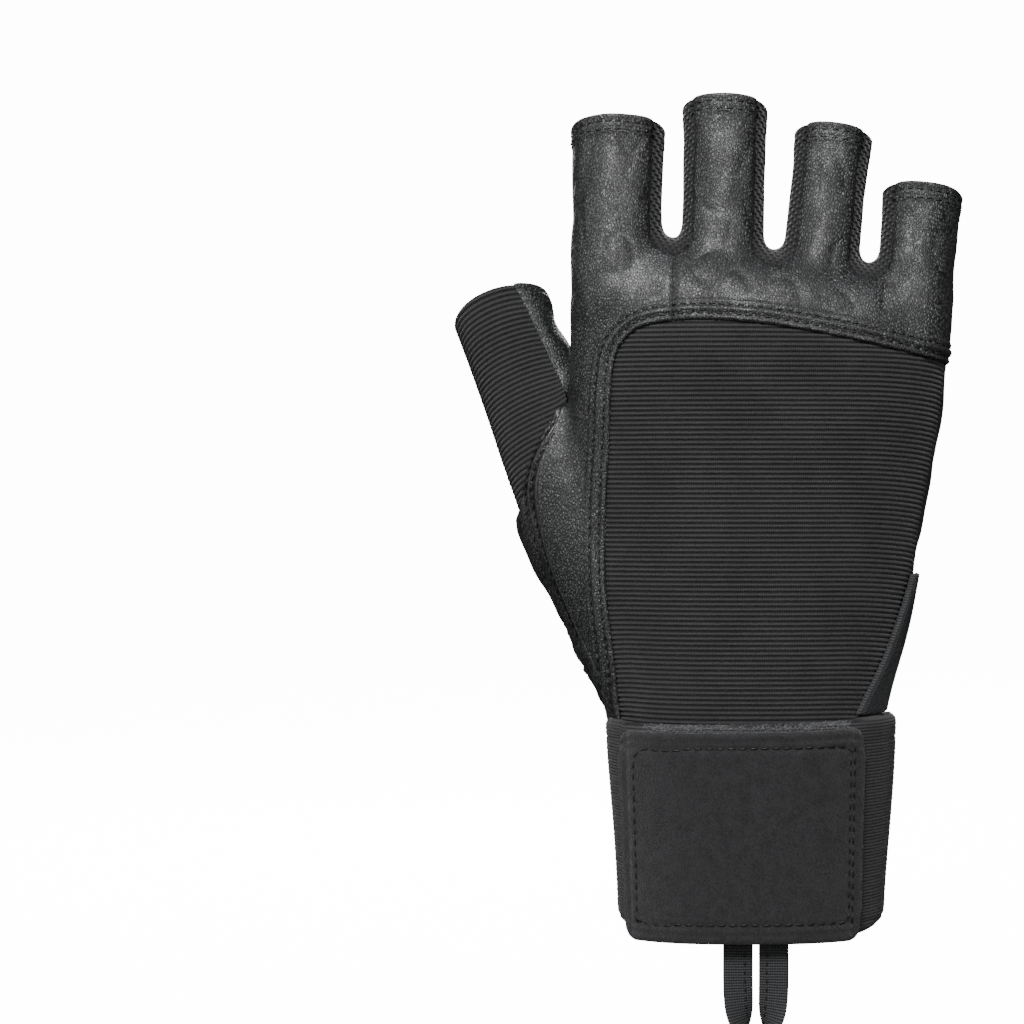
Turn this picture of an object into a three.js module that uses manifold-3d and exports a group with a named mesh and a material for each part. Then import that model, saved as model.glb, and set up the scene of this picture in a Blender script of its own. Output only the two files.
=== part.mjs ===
// A right-hand weightlifting glove, half-fingered, with a wound wrist wrap. Millimetres, +Z up to the
// fingertips, -X the thumb side, -Y the back of the hand and +Y the palm. The origin is the middle of the
// wrist opening, level with the wrap's lower rim. The glove's skin is a set of lofted tubes (hand, four
// fingers, thumb) with a wall, cut along the seam lines of its leather and fabric panels. What is worn over
// the skin lies one ply further out, or is wound round the wrist.
import * as THREE from "three";
import { mergeVertices } from "three/addons/utils/BufferGeometryUtils.js";
import Module from "manifold-3d";

const wasm = await Module();
wasm.setup();

// Driving sizes of the hand.
const INDEX = { name: "index", width: 24.4, length: 25.5, depth: 21.6 };
const MIDDLE = { name: "middle", width: 22.6, length: 34.5, depth: 22 };
const RING = { name: "ring", width: 20.6, length: 30.5, depth: 20.6 };
const LITTLE = { name: "little", width: 20.8, length: 18.5, depth: 19.4 };
const FINGER_GAP = 3.6; // clear space between two finger tubes
const HAND_DEPTH = 35; // back to palm, across the knuckles
const HAND_RISE = 174; // wrist rim to the web between the middle and ring fingers
const WEB_SLOPE = -0.13; // the web falls from the index to the little finger
const THUMB_WIDTH = 25.6;
const THUMB_LENGTH = 107; // along its middle line, from the heel of the hand to its opening
const CURL = 0.19; // how far the fingers lean towards the palm, as a slope
const MOUTH_TILT = 0.3; // slope of the finger openings, lower on the palm side
const THUMB_TILT = 0.36; // and of the thumb's

// Driving sizes of the materials.
const WALL = 1.8; // leather or elastic, with its thin lining
const SEAM = 0.3; // clear gap between two panels, and between two plies
const PAD_RISE = 1.3; // how far the palm's foam pads stand above their seams
const PAD_EDGE = 4.2; // how far from a seam a pad takes to rise
const CUFF_WALL = 1.5;
const CUFF_BOTTOM = 2.2;
const WRAP_HEIGHT = 55.5;
const WRAP_PLY = 2;
const WRAP_DIP = 3; // how much lower the wrap's upper rim is on the palm side
const TAB_PLY = 1.4;
const TAB_MARGIN = 1.6; // elastic showing above the closure tab
const TAB_CORNER = 5;
const TAB_CORNER_RUN = 0.62; // millimetres round the wrap for each degree, near the tab's ends
const TAB_LIP = 0.6; // how far the tab hangs below the wrap's lower rim
const PULL_PLY = 1.1;
const PULL_BAND = 10.5; // height of the band that carries a pull tab
const PULL_WIDTH = 11;
const PULL_LENGTH = 11;
const PULL_ROOT = 2.4; // how far the tongue starts below the finger's rim
const PULL_LEAN = 0.95; // radians from upright towards the palm
const PATCH_PLY = 1.2;
const ANCHOR_WIDTH = 9;
const ANCHOR_PLY = 1.3;
const ANCHOR_CLEAR = 1.3; // from the hand's skin to the anchor's flat middle
const ANCHOR_TURN = -0.28; // radians towards the back of the hand at the wrap
const ANCHOR_RISE_TURN = 0.24; // and how far it comes back to the side at its upper end
const LOOP_TAPE = 7.4;
const LOOP_PLY = 1.2;
const LOOP_DROP = 23;
const LOOP_SPREAD = 4.4; // from the loop's middle to the middle of each leg

// Mesh fineness: sides round each tube.
const HAND_SIDES = 40;
const FINGER_SIDES = 16;
const THUMB_SIDES = 20;
const PAD_RINGS = 15; // rings over the padded palm
const INSIDE_SHARE = 0.55; // the hollow has fewer sides and rings than the skin, by this share

const FINGERS = [INDEX, MIDDLE, RING, LITTLE];
const HAND_WIDTH = FINGERS.reduce((sum, f) => sum + f.width, 0) + 3 * FINGER_GAP;
const HAND_SHIFT = 0.031 * HAND_WIDTH; // the knuckles sit a little to the little finger's side of the wrist
const FAR = 300; // longer than the glove, for cutters
const MOUTH_CLEAR = 10; // how far the hollow runs on past each opening, so that it cuts clean through

// The hand's sections, as shares: rise of HAND_RISE, left and right of HAND_WIDTH, back and palm of
// HAND_DEPTH. square is the exponent of the section's outline, 2 for an ellipse. slope is its share of
// WEB_SLOPE.
const HAND_ROWS = [
  { rise: 0.0, left: -0.308, right: 0.292, back: -0.6, palm: 0.6, square: 2.7, slope: 0 },
  { rise: 0.16, left: -0.308, right: 0.294, back: -0.58, palm: 0.58, square: 2.7, slope: 0 },
  { rise: 0.31, left: -0.33, right: 0.33, back: -0.57, palm: 0.6, square: 2.6, slope: 0 },
  { rise: 0.42, left: -0.36, right: 0.378, back: -0.54, palm: 0.6, square: 2.5, slope: 0 },
  { rise: 0.52, left: -0.405, right: 0.418, back: -0.52, palm: 0.6, square: 2.4, slope: 0 },
  { rise: 0.63, left: -0.445, right: 0.452, back: -0.5, palm: 0.585, square: 2.4, slope: 0 },
  { rise: 0.74, left: -0.466, right: 0.487, back: -0.5, palm: 0.55, square: 2.4, slope: 0.1 },
  { rise: 0.845, left: -0.47, right: 0.508, back: -0.5, palm: 0.5, square: 2.4, slope: 0.5 },
  { rise: 0.91, left: -0.466, right: 0.52, back: -0.46, palm: 0.46, square: 2.4, slope: 1 },
  { rise: 0.955, left: -0.46, right: 0.524, back: -0.38, palm: 0.4, square: 2.3, slope: 1 },
  { rise: 0.985, left: -0.44, right: 0.505, back: -0.24, palm: 0.3, square: 2.2, slope: 1 },
  { rise: 1.0, left: -0.42, right: 0.49, back: -0.03, palm: 0.12, square: 2, slope: 1 },
];

const PADS_FROM = 4.2; // the rows of that table between which the padded palm lies
const PADS_TO = 8;

// A finger's sections, as shares: up of its length above the web, wide of its width, deep of its depth.
// curled is the share of the full lean that the tube has there.
const FINGER_ROWS = [
  { up: -1.1, wide: 0.8, deep: 0.9, curled: 0 },
  { up: -0.62, wide: 0.96, deep: 1.24, curled: 0.03 },
  { up: -0.3, wide: 0.99, deep: 1.2, curled: 0.12 },
  { up: 0.0, wide: 0.985, deep: 1.08, curled: 0.3 },
  { up: 0.35, wide: 0.975, deep: 1.0, curled: 0.52 },
  { up: 0.7, wide: 0.985, deep: 0.98, curled: 0.78 },
  { up: 1.0, wide: 1.0, deep: 0.97, curled: 1 },
];
const ROOT_DROP = 32; // a finger's rows below the web are shares of this drop
const FINGER_SPLAY = { index: 0.01, middle: 0.015, ring: 0.11, little: 0.09 };

// The thumb's sections: across of HAND_WIDTH, deep of HAND_DEPTH, rise of THUMB_LENGTH above the heel,
// wide and thick of THUMB_WIDTH.
const THUMB_HEEL = 0.34; // height of the thumb's first section, as a share of HAND_RISE
const THUMB_ROWS = [
  { across: -0.19, deep: 0.1, rise: -0.03, wide: 1.36, thick: 1.24 },
  { across: -0.28, deep: 0.17, rise: 0.19, wide: 1.46, thick: 1.34 },
  { across: -0.392, deep: 0.24, rise: 0.385, wide: 1.42, thick: 1.34 },
  { across: -0.497, deep: 0.31, rise: 0.57, wide: 1.2, thick: 1.2 },
  { across: -0.583, deep: 0.36, rise: 0.745, wide: 1.04, thick: 1.08 },
  { across: -0.665, deep: 0.39, rise: 0.93, wide: 0.98, thick: 1.0 },
];

// The palm's three sewn channels, from the little finger's side to the thumb's, as shares of HAND_WIDTH and
// HAND_RISE. The last one runs on over the thumb's leather.
const PALM_SEAMS = [
  [[0.55, 0.82], [0.27, 0.845], [0.05, 0.872], [-0.17, 0.894], [-0.5, 0.9]],
  [[0.5, 0.7], [0.15, 0.735], [-0.1, 0.764], [-0.3, 0.785], [-0.48, 0.85]],
  [[0.5, 0.54], [0.15, 0.563], [-0.07, 0.575], [-0.18, 0.59], [-0.32, 0.632], [-0.42, 0.7], [-0.52, 0.775]],
];

// Seam lines that part one panel from the next, seen from the back of the hand, in the same shares.
const BACK_FABRIC_EDGE = [
  [-0.335, 0.3], [-0.352, 0.4], [-0.37, 0.5], [-0.372, 0.6], [-0.362, 0.72], [-0.355, 0.8],
  [-0.342, 0.842], [-0.308, 0.868], [-0.26, 0.882], [-0.15, 0.889], [0.02, 0.884], [0.25, 0.862],
  [0.6, 0.818],
];
const INDEX_SEAM_ACROSS = -0.196;
const HAND_THUMB_EDGE = [
  [-0.352, 0.3], [-0.385, 0.37], [-0.455, 0.45], [-0.53, 0.56], [-0.54, 0.64], [-0.522, 0.71], [-0.475, 0.82],
];
const THUMB_FABRIC_EDGE = [
  [-0.47, 0.4], [-0.53, 0.49], [-0.575, 0.575], [-0.592, 0.64], [-0.552, 0.71], [-0.497, 0.765],
  [-0.482, 0.79], [-0.6, 0.935], [-0.7, 1.06],
];
// And its edge on the palm side, against the thumb's leather.
const THUMB_PALM_EDGE = [[-0.275, 0.395], [-0.305, 0.432], [-0.55, 0.672], [-0.655, 0.81], [-0.82, 1.06]];
// The thumb's leather saddle, seen from the palm side: the arc of its double seam.
const SADDLE_EDGE = [
  [-0.385, 0.845], [-0.31, 0.812], [-0.222, 0.78], [-0.147, 0.74], [-0.105, 0.69], [-0.088, 0.63],
  [-0.093, 0.56], [-0.125, 0.5], [-0.172, 0.455], [-0.27, 0.412], [-0.372, 0.39], [-0.6, 0.41],
];
const CROTCH_PATCH = [
  [-0.332, 0.745], [-0.3, 0.752], [-0.34, 0.79], [-0.396, 0.846], [-0.376, 0.79], [-0.352, 0.758],
];
const THUMB_BINDING = 2.4; // leather between the saddle's arc and the lower end of the thumb's fabric
const SADDLE_CROTCH = -0.47; // where the hand ends and the thumb stands clear, above the saddle's arc
const GUSSET_REACH = 2.9; // how far a side gusset shows on the front of each finger
const GUSSET_SINK = 4.2; // and below the crotch
const STRIP_REACH = 0.12; // how far the thumb's leather strip wraps palmwards, as a share of HAND_DEPTH
const STRIP_TOP = 0.79; // share of the hand's rise where the strip ends at the crotch of the thumb

// The wrap's turns, in degrees round the wrist from the little finger's side over the back.
const WRAP_START = -352;
const WRAP_END = 146;
const TAB_START = 42;
const TAB_END = WRAP_END - 1;
const WRAP_STEP = 8;
const LOOP_ACROSS = 0.012; // the loop's middle, as a share of HAND_WIDTH

const lerp = THREE.MathUtils.lerp;
const webAt = (x) => HAND_RISE + WEB_SLOPE * (x - HAND_SHIFT);

// A smooth value of one column of a table at a place along it, from 0 to 1.
function column(rows, key, t) {
  const at = t * (rows.length - 1);
  const i = Math.min(rows.length - 2, Math.floor(at));
  const pick = (k) => rows[THREE.MathUtils.clamp(k, 0, rows.length - 1)][key];
  const [a, b, c, d] = [pick(i - 1), pick(i), pick(i + 1), pick(i + 2)];
  const u = at - i;
  return b + 0.5 * u * (c - a + u * (2 * a - 5 * b + 4 * c - d + u * (3 * (b - c) + d - a)));
}

// The point of a superellipse of exponent square at an angle, with half axes of 1.
function outline(angle, square) {
  const power = 2 / square;
  const [c, s] = [Math.cos(angle), Math.sin(angle)];
  return [Math.sign(c) * Math.abs(c) ** power, Math.sign(s) * Math.abs(s) ** power];
}

// A closed solid through rings of points, with a flat fan on each end. The rings may run round either way.
function loft(rings) {
  const sides = rings[0].length;
  const points = rings.flat().flatMap((p) => [p.x, p.y, p.z]);
  const faces = [];
  for (let r = 0; r + 1 < rings.length; r++) {
    for (let k = 0; k < sides; k++) {
      const [a, b] = [r * sides + k, r * sides + ((k + 1) % sides)];
      faces.push(a, b, b + sides, a, b + sides, a + sides);
    }
  }
  for (const end of [0, rings.length - 1]) {
    const centre = rings[end].reduce((sum, p) => sum.add(p), new THREE.Vector3()).divideScalar(sides);
    const tip = points.length / 3;
    points.push(centre.x, centre.y, centre.z);
    for (let k = 0; k < sides; k++) {
      const [a, b] = [end * sides + k, end * sides + ((k + 1) % sides)];
      faces.push(...(end ? [a, b, tip] : [b, a, tip]));
    }
  }
  const faced = (index) => solid(new THREE.BufferGeometry().setIndex(index)
    .setAttribute("position", new THREE.Float32BufferAttribute(points, 3)));
  const made = faced(faces);
  return made.volume() > 0 ? made : faced(faces.toReversed());
}

// A three.js geometry as a solid that can be cut.
function solid(geometry) {
  geometry.deleteAttribute("normal");
  geometry.deleteAttribute("uv");
  const merged = mergeVertices(geometry, 1e-4);
  return new wasm.Manifold(new wasm.Mesh({
    numProp: 3,
    vertProperties: merged.attributes.position.array,
    triVerts: new Uint32Array(merged.index.array),
  }));
}

// Distance from a point to a line of points, in the plane seen from the front.
function seamDistance(x, z, line) {
  let least = Infinity;
  for (let i = 0; i + 1 < line.length; i++) {
    const [[ax, az], [bx, bz]] = [line[i], line[i + 1]];
    const along = THREE.MathUtils.clamp(
      ((x - ax) * (bx - ax) + (z - az) * (bz - az)) / ((bx - ax) ** 2 + (bz - az) ** 2), 0, 1);
    least = Math.min(least, Math.hypot(x - lerp(ax, bx, along), z - lerp(az, bz, along)));
  }
  return least;
}
const placed = (line) => line.map(([across, rise]) => [across * HAND_WIDTH, rise * HAND_RISE]);
const palmSeams = PALM_SEAMS.map(placed);

// How far the palm's pads stand out at a point: nothing in a seam, most in the middle of a pad.
function padRise(x, z) {
  const edge = Math.min(...palmSeams.map((line) => seamDistance(x, z, line)));
  const fade = THREE.MathUtils.smoothstep(z, 0.36 * HAND_RISE, 0.46 * HAND_RISE)
    * (1 - THREE.MathUtils.smoothstep(z, 0.9 * HAND_RISE, 0.97 * HAND_RISE));
  return PAD_RISE * fade * (1 - Math.exp(-((edge / PAD_EDGE) ** 2)));
}

// One ring of the hand at a place along its table, grown outwards by some millimetres.
function handRing(t, grow, sides) {
  const at = (key) => column(HAND_ROWS, key, t);
  const [left, right] = [at("left") * HAND_WIDTH - grow, at("right") * HAND_WIDTH + grow];
  const [back, palm] = [at("back") * HAND_DEPTH - grow, at("palm") * HAND_DEPTH + grow];
  const middle = (left + right) / 2;
  const height = at("rise") * HAND_RISE + (t === 1 ? grow : 0);
  return Array.from({ length: sides }, (_, k) => {
    const [c, s] = outline((k / sides) * 2 * Math.PI, at("square"));
    const x = middle + (c * (right - left)) / 2;
    const z = height + at("slope") * WEB_SLOPE * (x - HAND_SHIFT);
    const y = (back + palm) / 2 + (s * (palm - back)) / 2 + (s > 0 ? s * padRise(x, z) : 0);
    return new THREE.Vector3(x, y, z);
  });
}

// How many sides or rings a solid has: fewer where it only hollows the glove out.
const fineness = (count, grow) => (grow < 0 ? Math.round(count * INSIDE_SHARE) : count);

function handSolid(grow) {
  const padStart = PADS_FROM / (HAND_ROWS.length - 1);
  const padEnd = PADS_TO / (HAND_ROWS.length - 1);
  const [below, over, above] = [6, PAD_RINGS, 6].map((count) => fineness(count, grow));
  const places = [
    ...Array.from({ length: below }, (_, k) => lerp(0, padStart, k / below)),
    ...Array.from({ length: over }, (_, k) => lerp(padStart, padEnd, k / over)),
    ...Array.from({ length: above + 1 }, (_, k) => lerp(padEnd, 1, k / above)),
  ];
  return loft(places.map((t) => handRing(t, grow, fineness(HAND_SIDES, grow))));
}

// The middle of each finger's root, side by side across the knuckles.
const fingerPlace = {};
FINGERS.reduce((edge, f) => {
  fingerPlace[f.name] = edge + f.width / 2;
  return edge + f.width + FINGER_GAP;
}, HAND_SHIFT - HAND_WIDTH / 2);

// A finger's middle, size and tilt at a place along its table.
function fingerAt(finger, t) {
  const at = (key) => column(FINGER_ROWS, key, t);
  const up = at("up");
  const height = up < 0 ? up * ROOT_DROP : up * finger.length;
  const x = fingerPlace[finger.name] + FINGER_SPLAY[finger.name] * height;
  const lean = CURL * finger.length * at("curled");
  const centre = new THREE.Vector3(x, lean, webAt(fingerPlace[finger.name]) + height);
  const half = (at("wide") * finger.width) / 2;
  const thick = (at("deep") * finger.depth) / 2;
  return { centre, half, thick, tilt: MOUTH_TILT * at("curled") };
}

// A point on a finger's skin: angle 0 is the little finger's side and a quarter turn is the palm.
function fingerPoint(finger, t, angle, grow) {
  const { centre, half, thick, tilt } = fingerAt(finger, t);
  const [c, s] = outline(angle, 2.2);
  const y = s * (thick + grow);
  const x = c * (half + grow);
  return new THREE.Vector3(centre.x + x, centre.y + y, centre.z - tilt * y - FINGER_SPLAY[finger.name] * x);
}

function fingerSolid(finger, grow) {
  const steps = fineness(9, grow);
  const sides = fineness(FINGER_SIDES, grow);
  const ring = (t) => Array.from({ length: sides },
    (_, k) => fingerPoint(finger, t, (k / sides) * 2 * Math.PI, grow));
  const rings = Array.from({ length: steps + 1 }, (_, k) => ring(k / steps));
  const onward = new THREE.Vector3(0, CURL, 1).multiplyScalar(MOUTH_CLEAR);
  if (grow < 0) rings.push(rings[steps].map((p) => p.clone().add(onward)));
  return loft(rings);
}

// The thumb's middle line and its ring at a place along it.
const thumbPath = new THREE.CatmullRomCurve3(THUMB_ROWS.map((r) => new THREE.Vector3(
  r.across * HAND_WIDTH, r.deep * HAND_DEPTH, THUMB_HEEL * HAND_RISE + r.rise * THUMB_LENGTH)));

function thumbFrame(t) {
  const along = thumbPath.getTangent(t);
  const across = new THREE.Vector3(along.z, 0, -along.x).normalize();
  const palm = new THREE.Vector3().crossVectors(along, across);
  return { centre: thumbPath.getPoint(t), along, across, palm };
}

function thumbRing(t, grow, sides) {
  const { centre, along, across, palm } = thumbFrame(t);
  const half = (column(THUMB_ROWS, "wide", t) * THUMB_WIDTH) / 2 + grow;
  const thick = (column(THUMB_ROWS, "thick", t) * THUMB_WIDTH) / 2 + grow;
  return Array.from({ length: sides }, (_, k) => {
    const [c, s] = outline((k / sides) * 2 * Math.PI, 2.1);
    return centre.clone().addScaledVector(across, c * half).addScaledVector(palm, s * thick)
      .addScaledVector(along, -s * thick * THUMB_TILT * t ** 3);
  });
}

function thumbSolid(grow) {
  const steps = fineness(11, grow);
  const sides = fineness(THUMB_SIDES, grow);
  const rings = Array.from({ length: steps + 1 }, (_, k) => thumbRing(k / steps, grow, sides));
  const { along } = thumbFrame(1);
  if (grow < 0) rings.push(rings[steps].map((p) => p.clone().addScaledVector(along, MOUTH_CLEAR)));
  return loft(rings);
}

// The whole skin of the glove, grown outwards by some millimetres, or shrunk for the hollow inside.
function skin(grow) {
  const tubes = [thumbSolid(grow), ...FINGERS.map((f) => fingerSolid(f, grow))];
  return tubes.reduce((sum, tube) => sum.add(tube), handSolid(grow));
}

// A cutter through the whole depth over an outline seen from the front, between two depths.
function prism(line, from = -FAR, to = FAR) {
  const shape = new THREE.Shape(line.map(([x, z]) => new THREE.Vector2(x, z)));
  const geometry = new THREE.ExtrudeGeometry(shape, { depth: to - from, bevelEnabled: false });
  return solid(geometry.rotateX(Math.PI / 2).translate(0, to, 0));
}

// An outline moved sideways by some millimetres, to the left of its direction.
function offset(line, by) {
  return line.map(([x, z], i) => {
    const [ax, az] = line[Math.max(0, i - 1)];
    const [bx, bz] = line[Math.min(line.length - 1, i + 1)];
    const run = Math.hypot(bx - ax, bz - az);
    return [x - ((bz - az) / run) * by, z + ((bx - ax) / run) * by];
  });
}

// The side of the glove that is nearer the back of the hand, past a curtain that follows the fingers' lean.
function backHalf(shift) {
  const top = CURL * MIDDLE.length;
  const profile = [[-FAR, -FAR], [0, -FAR], [0, HAND_RISE * 0.93], [top * 0.3, HAND_RISE],
    [top, HAND_RISE + MIDDLE.length], [top * 1.5, FAR], [-FAR, FAR]];
  const shape = new THREE.Shape(profile.map(([y, z]) => new THREE.Vector2(y + shift, z)));
  const geometry = new THREE.ExtrudeGeometry(shape, { depth: 2 * FAR, bevelEnabled: false });
  // The profile's x is depth and its y is height, so the extrusion is turned to run across.
  geometry.applyMatrix4(new THREE.Matrix4().makeBasis(
    new THREE.Vector3(0, 1, 0), new THREE.Vector3(0, 0, 1), new THREE.Vector3(1, 0, 0)));
  return solid(geometry.translate(-FAR, 0, 0));
}

// Regions of the panels, seen from the front. Each closes round the far outside of the glove.
const fabricEdge = placed(BACK_FABRIC_EDGE);
const backFabricRegion = (by) => {
  const line = offset(fabricEdge, by);
  return prism([...line, [FAR, line.at(-1)[1]], [FAR, -FAR], [line[0][0], -FAR]]);
};
const thumbSideRegion = (by) => {
  const line = offset(placed(HAND_THUMB_EDGE), by);
  return prism([...line, [line.at(-1)[0], FAR], [-FAR, FAR], [-FAR, -FAR], [line[0][0], -FAR]].reverse());
};
const thumbRegion = (edge, by) => {
  const line = offset(placed(edge), by);
  return prism([...line, [-FAR, line.at(-1)[1]], [-FAR, line[0][1]]].reverse());
};
const thumbFabricRegion = (by) => {
  const back = thumbRegion(THUMB_FABRIC_EDGE, -by).intersect(thumbBackHalf(by + SEAM));
  const front = thumbRegion(THUMB_PALM_EDGE, -by).subtract(thumbBackHalf(-by));
  return back.add(front).intersect(saddleRegion(-THUMB_BINDING + by));
};
const saddleRegion = (by) => {
  const line = offset(placed(SADDLE_EDGE), by);
  const crotch = SADDLE_CROTCH * HAND_WIDTH + by;
  return prism([...line, [-FAR, line.at(-1)[1]], [-FAR, FAR], [crotch, FAR], [crotch, line[0][1]]]);
};

// The gap between two fingers: its middle at the web and how it leans with them.
const GAPS = [[INDEX, MIDDLE], [MIDDLE, RING], [RING, LITTLE]].map(([left, right]) => {
  const root = fingerPlace[left.name] + left.width / 2 + FINGER_GAP / 2;
  return { name: `gusset_${left.name}_${right.name}`, root, left, right, height: webAt(root) };
});

// The part of the skin that a gusset covers: a tongue over both fingers' sides, round at its lower end.
function gussetRegion(gap, by) {
  const half = FINGER_GAP / 2 + GUSSET_REACH + by;
  const bottom = gap.height - GUSSET_SINK - by;
  const side = (finger, sign) => {
    const tip = fingerAt(finger, 1);
    const reach = tip.half - GUSSET_REACH - by;
    return [tip.centre.x - sign * reach, tip.centre.z];
  };
  const [leftTip, rightTip] = [side(gap.left, -1), side(gap.right, 1)];
  const rise = (tip, x0) => [tip[0] + (tip[0] - x0) * 0.6, tip[1] + (tip[1] - gap.height) * 0.6];
  const arc = Array.from({ length: 9 }, (_, k) => {
    const turn = Math.PI * (k / 8);
    return [gap.root - half * Math.cos(turn), bottom + half - half * Math.sin(turn)];
  });
  return prism([...arc, rise(rightTip, gap.root + half), rise(leftTip, gap.root - half)]);
}

// Half the space on the back of the thumb: a plane along the thumb's middle line.
function thumbBackHalf(shift) {
  const { centre, along, across, palm } = thumbFrame(0.72);
  const box = new THREE.BoxGeometry(2 * FAR, FAR, 2 * FAR).translate(0, -FAR / 2 + shift, 0);
  return solid(box.applyMatrix4(new THREE.Matrix4().makeBasis(across, palm, along).setPosition(centre)));
}

function slab(from, to) {
  return solid(new THREE.BoxGeometry(2 * FAR, 2 * FAR, to - from).translate(0, 0, (from + to) / 2));
}

// The glove's own panels, cut from one wall so that they meet along their seams.
const hollow = skin(-WALL);
const skinTop = slab(WRAP_HEIGHT + SEAM, FAR);
const wall = skin(0).subtract(hollow).intersect(skinTop);
const gussets = GAPS.map((gap) => [gap.name, wall.intersect(gussetRegion(gap, 0))]);
const gussetRoom = GAPS.map((gap) => gussetRegion(gap, SEAM)).reduce((sum, room) => sum.add(room));
const panels = wall.subtract(gussetRoom);
const thumbFabricSpace = thumbFabricRegion(0);
const thumbFabricRoom = thumbFabricRegion(SEAM);
const thumbLess = panels.subtract(thumbFabricRoom);
const stripBack = STRIP_REACH * HAND_DEPTH;
const stripTop = STRIP_TOP * HAND_RISE;
const stripSpace = thumbSideRegion(0).intersect(backHalf(stripBack)).intersect(slab(-FAR, stripTop));
const stripRoom = thumbSideRegion(-SEAM).intersect(backHalf(stripBack + SEAM))
  .intersect(slab(-FAR, stripTop + SEAM));
const handPart = thumbLess.subtract(stripRoom);
// Above its crotch the thumb's leather belongs to the saddle all the way round to the fabric.
const thumbTop = (by) => prism([[-FAR, stripTop], [SADDLE_CROTCH * HAND_WIDTH + by, stripTop],
  [SADDLE_CROTCH * HAND_WIDTH + by, FAR], [-FAR, FAR]]);
const palmSide = handPart.subtract(backHalf(SEAM).subtract(thumbTop(0)));
const backSide = handPart.intersect(backHalf(0)).subtract(thumbTop(SEAM));
const backLeather = backSide.subtract(backFabricRegion(SEAM));
const indexSeam = INDEX_SEAM_ACROSS * HAND_WIDTH;
const leftOf = (x) => prism([[-FAR, -FAR], [x, -FAR], [x, FAR], [-FAR, FAR]]);

// The largest body of a cut, which leaves out slivers that a cutter shaves off.
function largest(cut) {
  const bodies = cut.decompose().sort((a, b) => b.volume() - a.volume());
  return bodies[0];
}

// A strip wound round the wrist from one angle to another, with its own inner and outer reach and its own
// lower and upper edge, each a function of the angle in degrees.
function wristPoint(degrees, height, out) {
  const t = THREE.MathUtils.clamp(height / HAND_RISE / 0.31, 0, 1) * (2 / (HAND_ROWS.length - 1));
  const at = (key) => column(HAND_ROWS, key, t);
  const [left, right] = [at("left") * HAND_WIDTH, at("right") * HAND_WIDTH];
  const half = ((at("palm") - at("back")) * HAND_DEPTH) / 2;
  const reach = (angle) => {
    const [c, s] = outline((-angle * Math.PI) / 180, at("square"));
    return new THREE.Vector2((left + right) / 2 + (c * (right - left)) / 2, s * half);
  };
  const run = reach(degrees + 1).sub(reach(degrees - 1)).normalize();
  const base = reach(degrees);
  return new THREE.Vector3(base.x - run.y * out, base.y + run.x * out, height);
}

function windStrip(from, to, inner, outer, lower, upper) {
  const count = Math.max(2, Math.round((to - from) / WRAP_STEP));
  const rings = Array.from({ length: count + 1 }, (_, k) => {
    const degrees = lerp(from, to, k / count);
    return [[inner, lower], [inner, upper], [outer, upper], [outer, lower]].map(([out, edge]) =>
      wristPoint(degrees, edge(degrees), out(degrees)));
  });
  return loft(rings);
}

const windOut = (degrees) => SEAM + ((WRAP_PLY + SEAM) * (degrees - WRAP_START)) / 360;
const palmward = (degrees) => 0.5 - 0.5 * Math.sin((degrees * Math.PI) / 180);
const wrapTop = (degrees) => WRAP_HEIGHT - WRAP_DIP * palmward(degrees);

function wristWrap() {
  return windStrip(WRAP_START, WRAP_END, windOut, (d) => windOut(d) + WRAP_PLY, () => 0, wrapTop);
}

// The hook-and-loop tab on the wrap's free end, its corners rounded.
function closureTab() {
  const reach = (d) => windOut(d) + WRAP_PLY + SEAM;
  const corner = (d) => {
    const inside = Math.min(d - TAB_START, TAB_END - d) * TAB_CORNER_RUN;
    const short = Math.max(0, TAB_CORNER - inside);
    return TAB_CORNER - Math.sqrt(Math.max(0, TAB_CORNER ** 2 - short ** 2));
  };
  return windStrip(TAB_START, TAB_END, reach, (d) => reach(d) + TAB_PLY,
    (d) => corner(d) - TAB_LIP, (d) => wrapTop(d) - TAB_MARGIN - corner(d));
}

// The elastic that ties the wrap to the glove's little-finger side, lying along the hand down to the wrap.
function strapAnchor() {
  const top = 0.52 * HAND_RISE;
  const bottom = WRAP_HEIGHT + 2 * SEAM;
  const steps = 7;
  const rings = Array.from({ length: steps + 1 }, (_, k) => {
    const share = k / steps;
    const height = lerp(bottom, top, share);
    const t = anchorPlace(height);
    const at = (key) => column(HAND_ROWS, key, t);
    const [left, right] = [at("left") * HAND_WIDTH, at("right") * HAND_WIDTH];
    const half = ((at("palm") - at("back")) * HAND_DEPTH) / 2;
    const middle = ((at("palm") + at("back")) * HAND_DEPTH) / 2;
    const width = ANCHOR_WIDTH * (1 - 0.45 * share ** 2);
    const edge = (along, out) => {
      const angle = ANCHOR_TURN + (along * width) / half + ANCHOR_RISE_TURN * share;
      const [c, s] = outline(angle, at("square"));
      const [nx, ny] = [c / right, s / half];
      const length = Math.hypot(nx, ny);
      return new THREE.Vector3((left + right) / 2 + (c * (right - left)) / 2 + (nx / length) * out,
        middle + s * half + (ny / length) * out, height);
    };
    const [low, high] = [ANCHOR_CLEAR, ANCHOR_CLEAR + ANCHOR_PLY];
    return [edge(0.5, low), edge(0.5, high), edge(-0.5, high), edge(-0.5, low)];
  });
  return loft(rings);
}
// The place along the hand's table that has a given height, found by halving.
function anchorPlace(height) {
  let [low, high] = [0, 1];
  for (let i = 0; i < 30; i++) {
    const mid = (low + high) / 2;
    if (column(HAND_ROWS, "rise", mid) * HAND_RISE < height) low = mid;
    else high = mid;
  }
  return low;
}

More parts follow.
